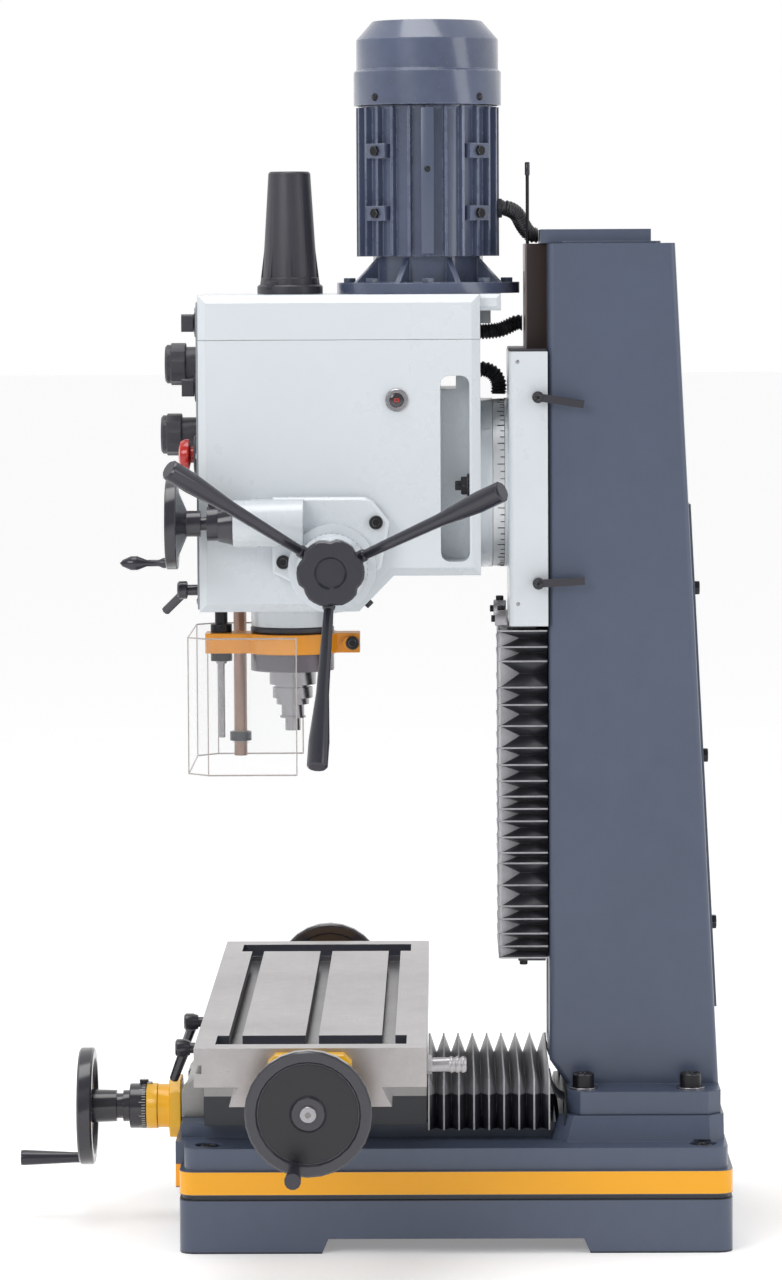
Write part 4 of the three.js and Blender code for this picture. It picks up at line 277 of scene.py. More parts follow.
def build_tool_marks():
    """Streaks that a cutter or grinding wheel leaves: noise drawn out along one direction."""
    group, given, made = group_shell("Tool marks",
        [("Stretch", "NodeSocketVector", (4, 400, 400)), ("Depth", "NodeSocketFloat", 0.1),
         ("Normal", "NodeSocketVector", (0, 0, 0))],
        [("Streaks", "NodeSocketFloat"), ("Normal", "NodeSocketVector")])
    place = group.nodes.new("ShaderNodeTexCoord").outputs["Object"]
    drawn = group.nodes.new("ShaderNodeVectorMath")
    drawn.operation = "MULTIPLY"
    group.links.new(place, drawn.inputs[0])
    group.links.new(given.outputs["Stretch"], drawn.inputs[1])
    streaks = noise(group, drawn.outputs["Vector"], 1, detail=5, roughness=0.6)
    group.links.new(streaks, made.inputs["Streaks"])
    group.links.new(relief(group, given, streaks, STREAK_HEIGHT), made.inputs["Normal"])
    return group


def build_masked_zone():
    """One inside a box of the machine, none outside it."""
    group, given, made = group_shell("Masked zone",
        [("Low", "NodeSocketVector", (0, 0, 0)), ("High", "NodeSocketVector", (1, 1, 1))],
        [("Mask", "NodeSocketFloat")])
    place = group.nodes.new("ShaderNodeTexCoord").outputs["Object"]
    sides = []
    for corner, operation in (("Low", "GREATER_THAN"), ("High", "LESS_THAN")):
        parts = []
        for source in (place, given.outputs[corner]):
            split = group.nodes.new("ShaderNodeSeparateXYZ")
            group.links.new(source, split.inputs[0])
            parts.append(split)
        for axis in "XYZ":
            sides.append(math_node(group, operation, parts[0].outputs[axis], parts[1].outputs[axis]))
    inside = sides[0]
    for side in sides[1:]:
        inside = math_node(group, "MULTIPLY", inside, side)
    group.links.new(inside, made.inputs["Mask"])
    return group


EFFECTS = {
    "uneven coat": build_uneven_coat(),
    "edge wear and highlight": build_edge_wear_and_highlight(),
    "fine skin": build_fine_skin(),
    "tool marks": build_tool_marks(),
    "masked zone": build_masked_zone(),
}


class Finish:
    """One material under construction: its shader, and the effects placed in it."""

    def __init__(self, name, **sockets):
        self.material = bpy.data.materials.new(name)
        self.material.use_nodes = True
        self.tree = self.material.node_tree
        self.shader = self.tree.nodes["Principled BSDF"]
        for socket, value in sockets.items():
            self.shader.inputs[socket.replace("_", " ")].default_value = value

    def place(self, effect, **sockets):
        node = self.tree.nodes.new("ShaderNodeGroup")
        node.node_tree = EFFECTS[effect]
        for name, value in sockets.items():
            socket = node.inputs[name.replace("_", " ")]
            if isinstance(value, bpy.types.NodeSocket):
                self.tree.links.new(value, socket)
            else:
                socket.default_value = value
        return node

    def feed(self, socket, value):
        self.tree.links.new(value, self.shader.inputs[socket])

    def mixed(self, share, first, second):
        return mix_colours(self.tree, share, first, second)

    def either(self, *masks):
        total = masks[0]
        for mask in masks[1:]:
            total = math_node(self.tree, "MAXIMUM", total, mask)
        return total

    def zone(self, low, high):
        """A mask over a box given in millimetres from the middle of the base."""
        return self.place("masked zone", Low=spot(*low), High=spot(*high)).outputs["Mask"]

    def layer(self, low, high):
        """A mask over the base's whole plan between two heights."""
        return self.zone((-BEYOND, -BEYOND, low), (BEYOND, BEYOND, high))

    def dress(self, colour, gloss, normal):
        self.feed("Base Color", colour)
        self.feed("Roughness", gloss)
        self.feed("Normal", normal)


def tone(red, green, blue):
    """A display colour from 0 to 255 as the linear one that a shader takes."""
    def linear(value):
        value /= 255
        return value / 12.92 if value <= 0.04045 else ((value + 0.055) / 1.055) ** 2.4
    return (linear(red), linear(green), linear(blue), 1)


# Finishes. Colours are (red, green, blue) from 0 to 255, gloss is the roughness, edge radii are in metres
COAT_DRIFT, GROUND_DRIFT = 0.12, 0.2
GROUND_EDGE, GROUND_REACH, BRIGHT_EDGE = 0.0006, 0.5, (225, 226, 228)
GROUND_MOTTLE, GROUND_SCALE, STREAK_SHARE = 0.55, 7, 0.35


def coated(name, colour, shade, gloss, wear_and_highlight=(90, 92, 96), reach=0.25, radius=0.0012, peel=260, depth=0.12,
           amount=0.4, scale=6, **sockets):
    """A sprayed, dipped or moulded surface with its own colour along its edges: rubbed wear on most finishes,
    a painted highlight on some. reach is how strong that edge colour is and radius how wide, peel and depth
    are the skin's fineness and relief, and amount and scale say how much of the shade shows and in how large
    patches."""
    finish = Finish(name, **sockets)
    coat = finish.place("uneven coat", Colour=tone(*colour), Shade=tone(*shade), Amount=amount, Gloss=gloss,
        Gloss_drift=COAT_DRIFT, Scale=scale)
    finish.edge = finish.place("edge wear and highlight", Radius=radius, Reach=reach)
    skin = finish.place("fine skin", Scale=peel, Depth=depth, Normal=finish.edge.outputs["Soft normal"])
    # The edge colour is rubbed wear on most finishes and a painted highlight on some
    finish.colour = finish.mixed(finish.edge.outputs["Mask"], coat.outputs["Colour"], tone(*wear_and_highlight))
    finish.dress(finish.colour, coat.outputs["Roughness"], skin.outputs["Normal"])
    return finish


def ground(name, colour, shade, gloss, stretch, metal=0.9, depth=0.12):
    """A machined surface. stretch says how closely its cutter's streaks repeat along each axis."""
    finish = Finish(name, Metallic=metal)
    edge = finish.place("edge wear and highlight", Radius=GROUND_EDGE, Reach=GROUND_REACH)
    marks = finish.place("tool marks", Stretch=stretch, Depth=depth, Normal=edge.outputs["Soft normal"])
    coat = finish.place("uneven coat", Colour=tone(*colour), Shade=tone(*shade), Amount=GROUND_MOTTLE,
        Gloss=gloss, Gloss_drift=GROUND_DRIFT, Scale=GROUND_SCALE)
    streaks = math_node(finish.tree, "MULTIPLY", marks.outputs["Streaks"], STREAK_SHARE)
    streaked = finish.mixed(streaks, coat.outputs["Colour"], tone(*shade))
    finish.colour = finish.mixed(edge.outputs["Mask"], streaked, tone(*BRIGHT_EDGE))
    finish.dress(finish.colour, coat.outputs["Roughness"], marks.outputs["Normal"])
    return finish


# Colours that several finishes share, each with the shade that it drifts to and the tone of rubbed edges
SLATE, SLATE_SHADE, SLATE_WORN = (78, 88, 109), (62, 70, 88), (120, 126, 138)
WHITE, WHITE_SHADE, WHITE_WORN = (211, 217, 222), (199, 205, 211), (196, 200, 200)
# Farther out than any side of the base or the saddle, in millimetres
BEYOND = 400


def slate_enamel():
    return coated("slate_enamel", SLATE, SLATE_SHADE, 0.34, wear_and_highlight=SLATE_WORN, Coat_Weight=0.25,
        Coat_Roughness=0.18)


def motor_enamel():
    """The motor's slate enamel, lighter where its fins catch the light."""
    # Its light edge colour is a painted highlight on the fins
    return coated("motor_enamel", (86, 96, 122), (56, 62, 80), 0.26, wear_and_highlight=(150, 160, 184), reach=0.7,
        radius=0.0022, amount=0.6, scale=9, Coat_Weight=0.5, Coat_Roughness=0.12)


def banded_base_enamel():
    """The base: slate enamel, a yellow band round it, and painted shadow under the band and at the floor."""
    finish = coated("banded_base_enamel", SLATE, SLATE_SHADE, 0.34, wear_and_highlight=SLATE_WORN, Coat_Weight=0.15,
        Coat_Roughness=0.15)
    inside = finish.zone((-186, -277, 50), (186, 277, 92))
    band = math_node(finish.tree, "SUBTRACT", finish.layer(64, 88.4), inside, clamp=True)
    # Painted shadow: a dark line under the band and another where the base meets the floor
    shadow = finish.either(finish.layer(57, 63.2), finish.layer(-20, 2))
    amber = finish.mixed(finish.edge.outputs["Mask"], tone(244, 170, 0), tone(226, 154, 0))
    painted = finish.mixed(band, finish.colour, amber)
    finish.feed("Base Color", finish.mixed(shadow, painted, tone(38, 42, 52)))
    return finish


def column_enamel():
    """The column: slate enamel, with its two ways left bare and browned with oil."""
    finish = coated("column_enamel", SLATE, SLATE_SHADE, 0.36, wear_and_highlight=(118, 124, 136), amount=0.5, scale=4,
        Coat_Weight=0.2, Coat_Roughness=0.2)
    half, front, low, high = 71, 70, 301, 1085
    way = finish.zone((-half, front, low), (half, 103.4, high))
    strip = finish.zone((-half, front, low), (half, 81, high))
    oiled = finish.mixed(strip, tone(70, 60, 58), tone(128, 116, 114))
    finish.feed("Base Color", finish.mixed(way, finish.colour, oiled))
    return finish


def white_enamel(name):
    return coated(name, WHITE, WHITE_SHADE, 0.28, wear_and_highlight=WHITE_WORN, reach=0.15, radius=0.0016, peel=190,
        depth=0.1, amount=0.3, Coat_Weight=0.4, Coat_Roughness=0.12)


def head_enamel():
    return white_enamel("head_enamel")


def slide_enamel():
    """The lift slide: head enamel in front, its guiding faces bare."""
    finish = white_enamel("slide_enamel")
    bare = finish.zone((-100, 99, 660), (100, 160, 970))
    finish.feed("Base Color", finish.mixed(bare, finish.colour, tone(150, 150, 150)))
    return finish


def amber_enamel():
    return coated("amber_enamel", (250, 190, 16), (226, 164, 10), 0.32, wear_and_highlight=(214, 150, 60), peel=240,
        Coat_Weight=0.3, Coat_Roughness=0.15)


def orange_enamel():
    return coated("orange_enamel", (226, 148, 26), (196, 118, 18), 0.36, wear_and_highlight=(180, 120, 60), peel=240,
        depth=0.2, Coat_Weight=0.2, Coat_Roughness=0.2)


def panel_grey():
    return coated("panel_grey", (150, 154, 158), (128, 132, 138), 0.42, wear_and_highlight=(180, 182, 184), peel=400,
        depth=0.06)


def ground_table():
    """The table: ground all over, its coolant gutters and slot walls darker."""
    finish = ground("ground_table", (184, 180, 180), (146, 142, 143), 0.3, (6, 260, 260), metal=0.7)
    neck, foot = (7.6, 233.5, 253.4), (12.8, 233, 243.8)
    slots = [finish.zone((-372, y - half, low), (372, y + half, high))
        for y in (-229.9, -149.9, -69.9) for half, low, high in (neck, foot)]
    gutters = [finish.zone((left, -249.4, 239), (right, -50.4, 253.6))
        for left, right in ((314, 374), (-374, -314))]
    dark = finish.mixed(finish.either(*slots), finish.colour, tone(124, 122, 125))
    finish.feed("Base Color", finish.mixed(finish.either(*gutters), dark, tone(104, 106, 116)))
    return finish


def saddle_iron():
    """The saddle: ground above, painted dark below its side rails."""
    metal = 0.7
    finish = ground("saddle_iron", (160, 158, 156), (118, 117, 117), 0.34, (260, 6, 260), metal=metal)
    painted = finish.zone((-BEYOND, -275, 80), (BEYOND, 200, 161.5))
    finish.feed("Base Color", finish.mixed(painted, finish.colour, tone(40, 43, 50)))
    finish.feed("Metallic", math_node(finish.tree, "MULTIPLY_ADD", painted, -metal, metal))
    return finish


def turned_ring():
    return ground("turned_ring", (226, 228, 230), (196, 198, 200), 0.36, (90, 500, 90), metal=0.35)


def turned_steel():
    return ground("turned_steel", (176, 174, 178), (122, 120, 124), 0.26, (60, 60, 900), metal=1.0,
        depth=0.08)


def quill_steel():
    """The quill's ground steel, darker than the other turned steel: a painted reflection of the shaded
    machine.
    """
    return ground("quill_steel", (120, 114, 121), (66, 62, 68), 0.26, (40, 40, 1200), metal=0.6, depth=0.1)


def oiled_bar():
    return ground("oiled_bar", (168, 140, 128), (120, 100, 92), 0.34, (40, 40, 700), metal=0.8)


def lead_steel():
    return ground("lead_steel", (150, 148, 144), (96, 94, 92), 0.3, (900, 900, 900), metal=1.0, depth=0.25)


def bright_plate():
    return ground("bright_plate", (186, 184, 186), (144, 142, 146), 0.34, (400, 400, 400), metal=0.6,
        depth=0.05)


def black_oxide():
    return ground("black_oxide", (52, 52, 55), (34, 34, 37), 0.34, (300, 300, 300), metal=0.75, depth=0.06)


def black_enamel():
    return coated("black_enamel", (46, 46, 55), (32, 32, 38), 0.2, wear_and_highlight=(86, 86, 94), reach=0.35,
        radius=0.0009, peel=420, depth=0.08, Coat_Weight=0.35, Coat_Roughness=0.12)


def black_moulding():
    return coated("black_moulding", (46, 46, 56), (33, 33, 40), 0.2, wear_and_highlight=(80, 80, 90), reach=0.3,
        radius=0.0009, peel=520, depth=0.06, Specular_IOR_Level=0.55)


def satin_moulding():
    return coated("satin_moulding", (58, 57, 65), (42, 42, 48), 0.4, wear_and_highlight=(88, 88, 96), reach=0.3,
        radius=0.0008, peel=700, depth=0.2)


def red_moulding():
    return coated("red_moulding", (196, 30, 24), (160, 18, 16), 0.22, wear_and_highlight=(214, 80, 70), reach=0.3, peel=500,
        depth=0.05, Coat_Weight=0.4, Coat_Roughness=0.1)


def cover_cloth(name, wear_and_highlight, reach, **sockets):
    """Coated cover cloth: a faint weave, with a grey painted highlight along the edges of its folds."""
    return coated(name, (40, 41, 47), (24, 25, 29), 0.34, wear_and_highlight=wear_and_highlight, reach=reach, radius=0.0009, peel=900,
        depth=0.25, amount=0.7, scale=14, **sockets)


def pleated_cloth():
    # The grey fold edges are a painted highlight
    return cover_cloth("pleated_cloth", (150, 150, 154), 0.5, Sheen_Weight=0.15, Sheen_Roughness=0.4)


def bed_cloth():
    """The bed cover's cloth, with painted light on the sloping tops of its folds, their edges a painted
    highlight.
    """
    finish = cover_cloth("bed_cloth", (170, 170, 174), 0.6)
    # Painted light: fold tops lighter grey, their edges brighter still
    tops = finish.zone((-160, -32, 162.5), (160, 103.5, 190))
    lit_and_rubbed = finish.mixed(finish.edge.outputs["Mask"], tone(120, 120, 124), tone(210, 210, 212))
    finish.feed("Base Color", finish.mixed(tops, finish.colour, lit_and_rubbed))
    return finish


def gusset_cloth():
    """The upright cover's corner gussets and the covers' stitched lips: light grey painted highlights."""
    return coated("gusset_cloth", (200, 200, 204), (150, 150, 156), 0.5, wear_and_highlight=(230, 230, 232), reach=0.4,
        radius=0.0009, peel=900, depth=0.3, amount=0.7, scale=30)


# Dark rubber, its rib crests lightened to grey as a painted highlight
def hose_rubber():
    return coated("hose_rubber", (48, 48, 52), (34, 34, 38), 0.34, wear_and_highlight=(150, 150, 154), reach=0.8,
        radius=0.0009, peel=700, depth=0.1, amount=0.5, scale=20)


def clear_acrylic():
    """The guard: thin clear sheet, its cut edges brighter."""
    finish = Finish("clear_acrylic", Roughness=0.04, IOR=1.2, Specular_IOR_Level=0.5, Coat_Weight=0.3,
        Coat_Roughness=0.03)
    edge = finish.place("edge wear and highlight", Radius=0.0016, Reach=0.9)
    coat = finish.place("uneven coat", Colour=tone(236, 240, 242), Shade=tone(222, 228, 232), Amount=0.4,
        Gloss=0.05, Gloss_drift=0.05, Scale=5)
    skin = finish.place("fine skin", Scale=60, Depth=0.02)
    finish.dress(coat.outputs["Colour"], coat.outputs["Roughness"], skin.outputs["Normal"])
    haze, edge_haze = 0.045, 0.3
    seen = math_node(finish.tree, "MULTIPLY_ADD", edge.outputs["Mask"], edge_haze, haze, clamp=True)
    finish.feed("Alpha", seen)
    return finish


def guard_edge():
    """The guard's edges, where light gathers in the clear sheet."""
    return coated("guard_edge", (184, 174, 170), (140, 130, 126), 0.25, wear_and_highlight=(214, 208, 204), peel=400,
        depth=0.05)


def cover_sheet():
    return coated("cover_sheet", (38, 39, 44), (28, 29, 33), 0.6, wear_and_highlight=(120, 120, 124), reach=0.5, peel=500,
        depth=0.08, Specular_IOR_Level=0.2)


def dark_recess():
    return coated("dark_recess", (22, 23, 26), (14, 15, 17), 0.6, wear_and_highlight=(34, 35, 38), peel=500, depth=0.1)


def dial_white():
    return coated("dial_white", (226, 226, 222), (200, 200, 196), 0.4, wear_and_highlight=(150, 150, 150), peel=600,
        depth=0.05)


def web_black():
    """The sunk webs of the wheels, painted darker than their rims as shade in the recess."""
    return coated("web_black", (27, 27, 32), (18, 18, 22), 0.26, wear_and_highlight=(60, 60, 66), peel=300, depth=0.2)


def clear_lens():
    """The oil window's glass, dark with the oil behind it."""
    finish = Finish("clear_lens", Roughness=0.03, Coat_Weight=0.5, Coat_Roughness=0.02)
    coat = finish.place("uneven coat", Colour=tone(58, 54, 58), Shade=tone(40, 36, 40), Amount=0.5,
        Gloss=0.06, Gloss_drift=0.04, Scale=60)
    skin = finish.place("fine skin", Scale=200, Depth=0.02)
    finish.dress(coat.outputs["Colour"], coat.outputs["Roughness"], skin.outputs["Normal"])
    return finish


MAKERS = [
    slate_enamel, motor_enamel, banded_base_enamel, column_enamel, head_enamel, slide_enamel, amber_enamel,
    orange_enamel, panel_grey, ground_table, saddle_iron, turned_ring, turned_steel, quill_steel, oiled_bar,
    lead_steel, black_enamel, black_moulding, satin_moulding, red_moulding, bright_plate, pleated_cloth,
    bed_cloth, gusset_cloth, hose_rubber, clear_acrylic, guard_edge, cover_sheet, dark_recess, dial_white,
    web_black, black_oxide, clear_lens,
]
FINISHES = {maker.__name__: maker().material for maker in MAKERS}

# Which finish each solid of the machine wears
WEARS = {
    "banded_base_enamel": "base_casting",
    "column_enamel": "column",
    "slate_enamel": "column_top_cap column_rear_cover",
    "motor_enamel": "motor_frame fan_cover",
    "head_enamel": "head_casting head_lid feed_housing feed_hub",
    "slide_enamel": "lift_slide",
    "amber_enamel": "cross_feed_bracket table_bracket_right table_bracket_left",
    "orange_enamel": "depth_stop_clamp",
    "panel_grey": "control_panel",
    "ground_table": "table",
    "saddle_iron": "saddle",
    "turned_ring": "swivel_scale_ring",
    "turned_steel": "oil_sight_glass spindle depth_stop_rod",
    "quill_steel": "quill",
    "oiled_bar": "guard_post",
    "lead_steel": "lift_leadscrew cross_leadscrew table_leadscrew",
    "black_enamel": "lift_crank cross_handwheel cross_dial right_handwheel left_handwheel saddle_lever_left "
                    "saddle_lever_right slide_lever_upper slide_lever_lower quill_lock_lever fine_feed_wheel",
    "black_moulding": "star_knob feed_lever_1 feed_lever_2 feed_lever_3 cross_grip right_grip left_grip "
                      "fine_feed_grip",
    "satin_moulding": "drawbar_cap cooling_fan upper_speed_knob lower_speed_knob upper_switch lower_switch",
    "pleated_cloth": "way_cover",
    "bed_cloth": "bed_cover",
    "hose_rubber": "motor_hose upper_hose lower_hose",
    "bright_plate": "coolant_hose_barb",
    "red_moulding": "emergency_stop",
    "clear_acrylic": "chuck_guard",
}


def round_shading(solid):
    """Shades a solid's round faces as round and keeps its corners crisp, without moving a point."""
    # Corners in the same step of this fine grid are one point, and no smoothed length is under the least one
    steps_per_metre, least = 2e5, 1e-12
    mesh = solid.data
    corners = np.zeros(len(mesh.loops), np.int32)
    mesh.loops.foreach_get("vertex_index", corners)
    places = np.zeros(len(mesh.vertices) * 3)
    mesh.vertices.foreach_get("co", places)
    keys = np.round(places.reshape(-1, 3)[corners] * steps_per_metre).astype(np.int64)
    group = np.unique(keys, axis=0, return_inverse=True)[1].ravel()
    faces = np.zeros(len(mesh.loops), np.int32)
    facings = np.zeros((len(mesh.polygons), 3))
    areas = np.zeros(len(mesh.polygons))
    for index, face in enumerate(mesh.polygons):
        faces[face.loop_start:face.loop_start + face.loop_total] = index
        facings[index] = face.normal
        areas[index] = face.area
    order = np.argsort(group, kind="stable")
    starts = np.flatnonzero(np.r_[True, np.diff(group[order]) > 0])
    limit = math.cos(ROUND_ANGLE)
    normals = facings[faces].copy()
    for members in np.split(order, starts[1:]):
        near = facings[faces[members]]
        weight = areas[faces[members]]
        smooth = ((near @ near.T) > limit) * weight @ near
        normals[members] = smooth / np.maximum(np.linalg.norm(smooth, axis=1, keepdims=True), least)
    mesh.polygons.foreach_set("use_smooth", np.ones(len(mesh.polygons), bool))
    mesh.normals_split_custom_set(normals.tolist())


def dress_solids():
    for finish, nodes in WEARS.items():
        for node in nodes.split():
            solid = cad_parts[node]
            solid.data.materials.clear()
            solid.data.materials.append(FINISHES[finish])
            round_shading(solid)


# Making pieces. Shapes are built in millimetres round their own axis, then stood in their place
TO_RIGHT, TO_LEFT, TO_FRONT, TO_REAR = (1, 0, 0), (-1, 0, 0), (0, -1, 0), (0, 1, 0)
UP, DOWN = (0, 0, 1), (0, 0, -1)


def ring_points(radius, height, flats, count):
    """One ring of a turned or flatted form. With flats, radius is half the size across them."""
    points = []
    for index in range(count):
        angle = 2 * math.pi * index / count
        reach = radius
        if flats:
            half = math.pi / flats
            reach = radius / math.cos((angle % (2 * half)) - half)
        points.append((reach * math.cos(angle), reach * math.sin(angle), height))
    return points


def skin_rings(form, rings, closed):
    """Joins rings of corners with faces, back to the first ring where closed, else with a cap at each end."""
    count = len(rings[0])
    for low, high in zip(rings, rings[1:] + rings[:1] if closed else rings[1:]):
        for index in range(count):
            following = (index + 1) % count
            form.faces.new((low[index], low[following], high[following], high[index]))
    if not closed:
        form.faces.new(list(reversed(rings[0])))
        form.faces.new(rings[-1])
    bmesh.ops.recalc_face_normals(form, faces=form.faces)
    return form


def turned(rings, count=24, closed=False):
    """A form through rings of (radius, height) or (radius, height, flats), with end caps unless closed."""
    form = bmesh.new()
    corners = []
    for ring in rings:
        radius, height, flats = (*ring, 0)[:3]
        corners.append([form.verts.new(point) for point in ring_points(radius, height, flats, count)])
    return skin_rings(form, corners, closed)


def looped(rings, count=40):
    """A turned ring whose section closes on itself."""
    return turned(rings, count, closed=True)


def plate(outline, low, high, bevel=0.0):
    """A flat outline drawn up from low to high, with its edges eased."""
    form = bmesh.new()
    floor = [form.verts.new((x, y, low)) for x, y in outline]
    roof = [form.verts.new((x, y, high)) for x, y in outline]
    form.faces.new(list(reversed(floor)))
    form.faces.new(roof)
    for index in range(len(outline)):
        following = (index + 1) % len(outline)
        form.faces.new((floor[index], floor[following], roof[following], roof[index]))
    bmesh.ops.recalc_face_normals(form, faces=form.faces)
    if bevel:
        bmesh.ops.bevel(form, geom=list(form.edges), offset=bevel, segments=2, profile=0.5, affect="EDGES")
    return form


def block(size_x, size_y, size_z, bevel=0.6):
    x, y = size_x / 2, size_y / 2
    return plate([(-x, -y), (x, -y), (x, y), (-x, y)], 0, size_z, bevel)


def rounded_outline(half_x, half_y, corner):
    outline, steps = [], 5
    for quarter, (sign_x, sign_y) in enumerate(((1, 1), (-1, 1), (-1, -1), (1, -1))):
        for step in range(steps + 1):
            angle = math.pi / 2 * (quarter + step / steps)
            outline.append((sign_x * (half_x - corner) + corner * math.cos(angle),
                sign_y * (half_y - corner) + corner * math.sin(angle)))
    return outline


def swept(path, widths, count):
    """A round bar along a path of points, each with the bar's radius there."""
    form = bmesh.new()
    rings, side = [], None
    turns = [2 * math.pi * index / count for index in range(count)]
    for index, (point, width) in enumerate(zip(path, widths)):
        ahead = (path[min(index + 1, len(path) - 1)] - path[max(index - 1, 0)]).normalized()
        side = side or ahead.orthogonal()
        side = (side - ahead * side.dot(ahead)).normalized()
        across = ahead.cross(side)
        rings.append([form.verts.new(point + (side * math.cos(turn) + across * math.sin(turn)) * width)
            for turn in turns])
    return skin_rings(form, rings, closed=False)


def cord(points, radius):
    """A six-sided cord or bright line through points."""
    return swept([Vector(point) for point in points], [radius] * len(points), 6)


def socket_screw(radius, height):
    """A cap screw's head with its six-sided socket."""
    key, ease = radius * 0.5, radius * 0.12
    return turned([(radius, 0), (radius, height - ease), (radius - ease, height), (key * 1.18, height),
        (key, height - ease, 6), (key, height * 0.45, 6), (key * 0.3, height * 0.42)])


def hex_head(half_flats, height):
    """A hexagon head, its corners turned off."""
    return turned([(half_flats, 0, 6), (half_flats, height * 0.86, 6), (half_flats * 0.97, height),
        (half_flats * 0.4, height)])


def nut_on_stud(half_flats, height, stud, stick_out):
    return turned([(half_flats, 0, 6), (half_flats, height * 0.86, 6), (half_flats * 0.97, height),
        (stud, height), (stud, height + stick_out * 0.85), (stud * 0.85, height + stick_out)])


def capped_bolt(radius, head):
    """A dark socket screw drawn over a solid bolt head of this height, its socket above the solid."""
    top, key = head + 1.3, radius * 0.5
    return turned([(radius, 0), (radius, top - 0.7), (radius - 0.7, top), (radius * 0.56, top),
        (key, top - 0.3, 6), (key, head + 0.35, 6), (radius * 0.2, head + 0.25)])


def dome_screw(radius, height):
    """A low round head with a small hollow in its middle."""
    return turned([(radius, 0), (radius, height * 0.3), (radius * 0.8, height * 0.8), (radius * 0.45, height),
        (radius * 0.3, height), (radius * 0.16, height * 0.5)], 16)


def stand(form, place, facing=UP):
    """Turns a form's own upward axis to face a direction and moves it to its place, in millimetres."""
    turn = Vector(facing).to_track_quat("Z", "Y").to_matrix().to_4x4()
    form.transform(Matrix.Translation(Vector(place)) @ turn)
    return form


def copies(make, places, facing=UP):
    return [stand(make(), place, facing) for place in places]


def dial_marks(start, outward, radius, count=50, every=5, short=4, long=7, width=0.6, height=0.4):
    """Marks round a dial, a long one at every so many. They run from start along outward, at this radius."""
    axis = "X" if outward[0] else "Y"
    marks = []
    for step in range(count):
        length = long if step % every == 0 else short
        mark = block(length, width, height, 0) if axis == "X" else block(width, length, height, 0)
        middle = Vector(start) + Vector(outward) * length / 2
        turn = Matrix.Rotation(2 * math.pi * step / count, 4, axis)
        mark.transform(Matrix.Translation(middle) @ turn @ Matrix.Translation((0, 0, radius)))
        marks.append(mark)
    return marks


def piece(name, forms, body, finish, turn=ROUND_ANGLE):
    """Joins forms into one piece of the machine and hangs it on its body."""
    forms = forms if isinstance(forms, list) else [forms]
    mesh = bpy.data.meshes.new(name)
    whole = bmesh.new()
    for form in forms:
        part = bpy.data.meshes.new("part")
        form.to_mesh(part)
        form.free()
        whole.from_mesh(part)
        bpy.data.meshes.remove(part)
    for vertex in whole.verts:
        vertex.co = spot(*vertex.co)
    whole.to_mesh(mesh)
    whole.free()
    mesh.polygons.foreach_set("use_smooth", np.ones(len(mesh.polygons), bool))
    mesh.set_sharp_from_angle(angle=turn)
    mesh.materials.append(FINISHES[finish])
    made = bpy.data.objects.new(name, mesh)
    bpy.context.scene.collection.objects.link(made)
    if body:
        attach(made, body)
    return made


def dark_steel(name, forms, body):
    return piece(name, forms, body, "black_oxide")


def bright_steel(name, forms, body):
    return piece(name, forms, body, "turned_steel")


# Axes and faces that the fittings share, in millimetres from the middle of the base
SPINDLE_Y, DEPTH_ROD_Y, MOTOR_Y = -177.6, -256, -26
PANEL_FACE_Y = -276.2
SWIVEL_Z = 817.5
TABLE_SCREW_Y, TABLE_SCREW_Z, CROSS_SCREW_Z = -149.9, 200, 126
GUARD_POST_X, GUARD_POST_Y = -111, -240


# Column and base
def column_fasteners():
    flange = [(side * 124, y, 164.9) for side in (-1, 1) for y in (138.8, 254.9)]
    dark_steel("column_flange_screws", copies(lambda: socket_screw(11.7, 17), flange), "base")
    washers = copies(lambda: looped([(11.9, 0), (15.4, 0), (15.4, 1.6), (14.9, 2), (11.9, 2)]), flange)
    bright_steel("column_flange_washers", washers, "base")
    corners = [(side * 174, y, 104.6) for side in (-1, 1) for y in (-265, 265)]
    dark_steel("base_corner_screws", copies(lambda: socket_screw(10.5, 8), corners), "base")


def rear_cover_screws():
    """Dark hexagon heads over the six bolts of the column's rear cover, which leans with the column."""
    lowest, lean = 337.7, 0.0495
    places = [(side * 58, 281.4 - lean * (z - lowest), z) for side in (-1, 1) for z in (lowest, 521, 704.3)]
    dark_steel("rear_cover_screws", copies(lambda: hex_head(7.1, 5.1), places, TO_REAR), "base")


def cover_brackets():
    """The plates that hold the upright cover's two ends, with the top one's lugs and their screws."""
    lug_x, foot_screw_x = 78, 84
    top = stand(block(170, 26, 4, 0.5), (0, 77, 661.4))
    piece("way_cover_top_plate", top, "slide", "black_enamel")
    lugs = [stand(block(16, 14, 17, 0.8), (side * lug_x, 52, 665.5)) for side in (-1, 1)]
    bright_steel("way_cover_lugs", lugs, "slide")
    screws = copies(lambda: socket_screw(4.4, 5), [(side * lug_x, 52, 682.4) for side in (-1, 1)])
    screws += copies(lambda: socket_screw(3.8, 4), [(side * lug_x, 45, 673) for side in (-1, 1)], TO_FRONT)
    dark_steel("way_cover_lug_screws", screws, "slide")
    foot = stand(block(188, 30, 3, 0.5), (0, 84, 300.2))
    piece("way_cover_foot_plate", foot, "base", "black_enamel")
    places = [(side * foot_screw_x, 75, 300) for side in (-1, 1)]
    dark_steel("way_cover_foot_screws", copies(lambda: socket_screw(4.4, 5), places, DOWN), "base")


def limit_rod():
    """The thin rod on the column's top: dark wire with a black tip."""
    wire = stand(turned([(1.9, 1079.3), (1.9, 1155)], 12), (0, 83, 0))
    tip = stand(turned([(2.2, 1153.5), (2.8, 1154.5), (2.8, 1167.4), (2.2, 1168.2)], 14), (0, 83, 0))
    piece("limit_rod_wire", wire, "base", "black_oxide")
    piece("limit_rod_tip", tip, "base", "black_moulding")


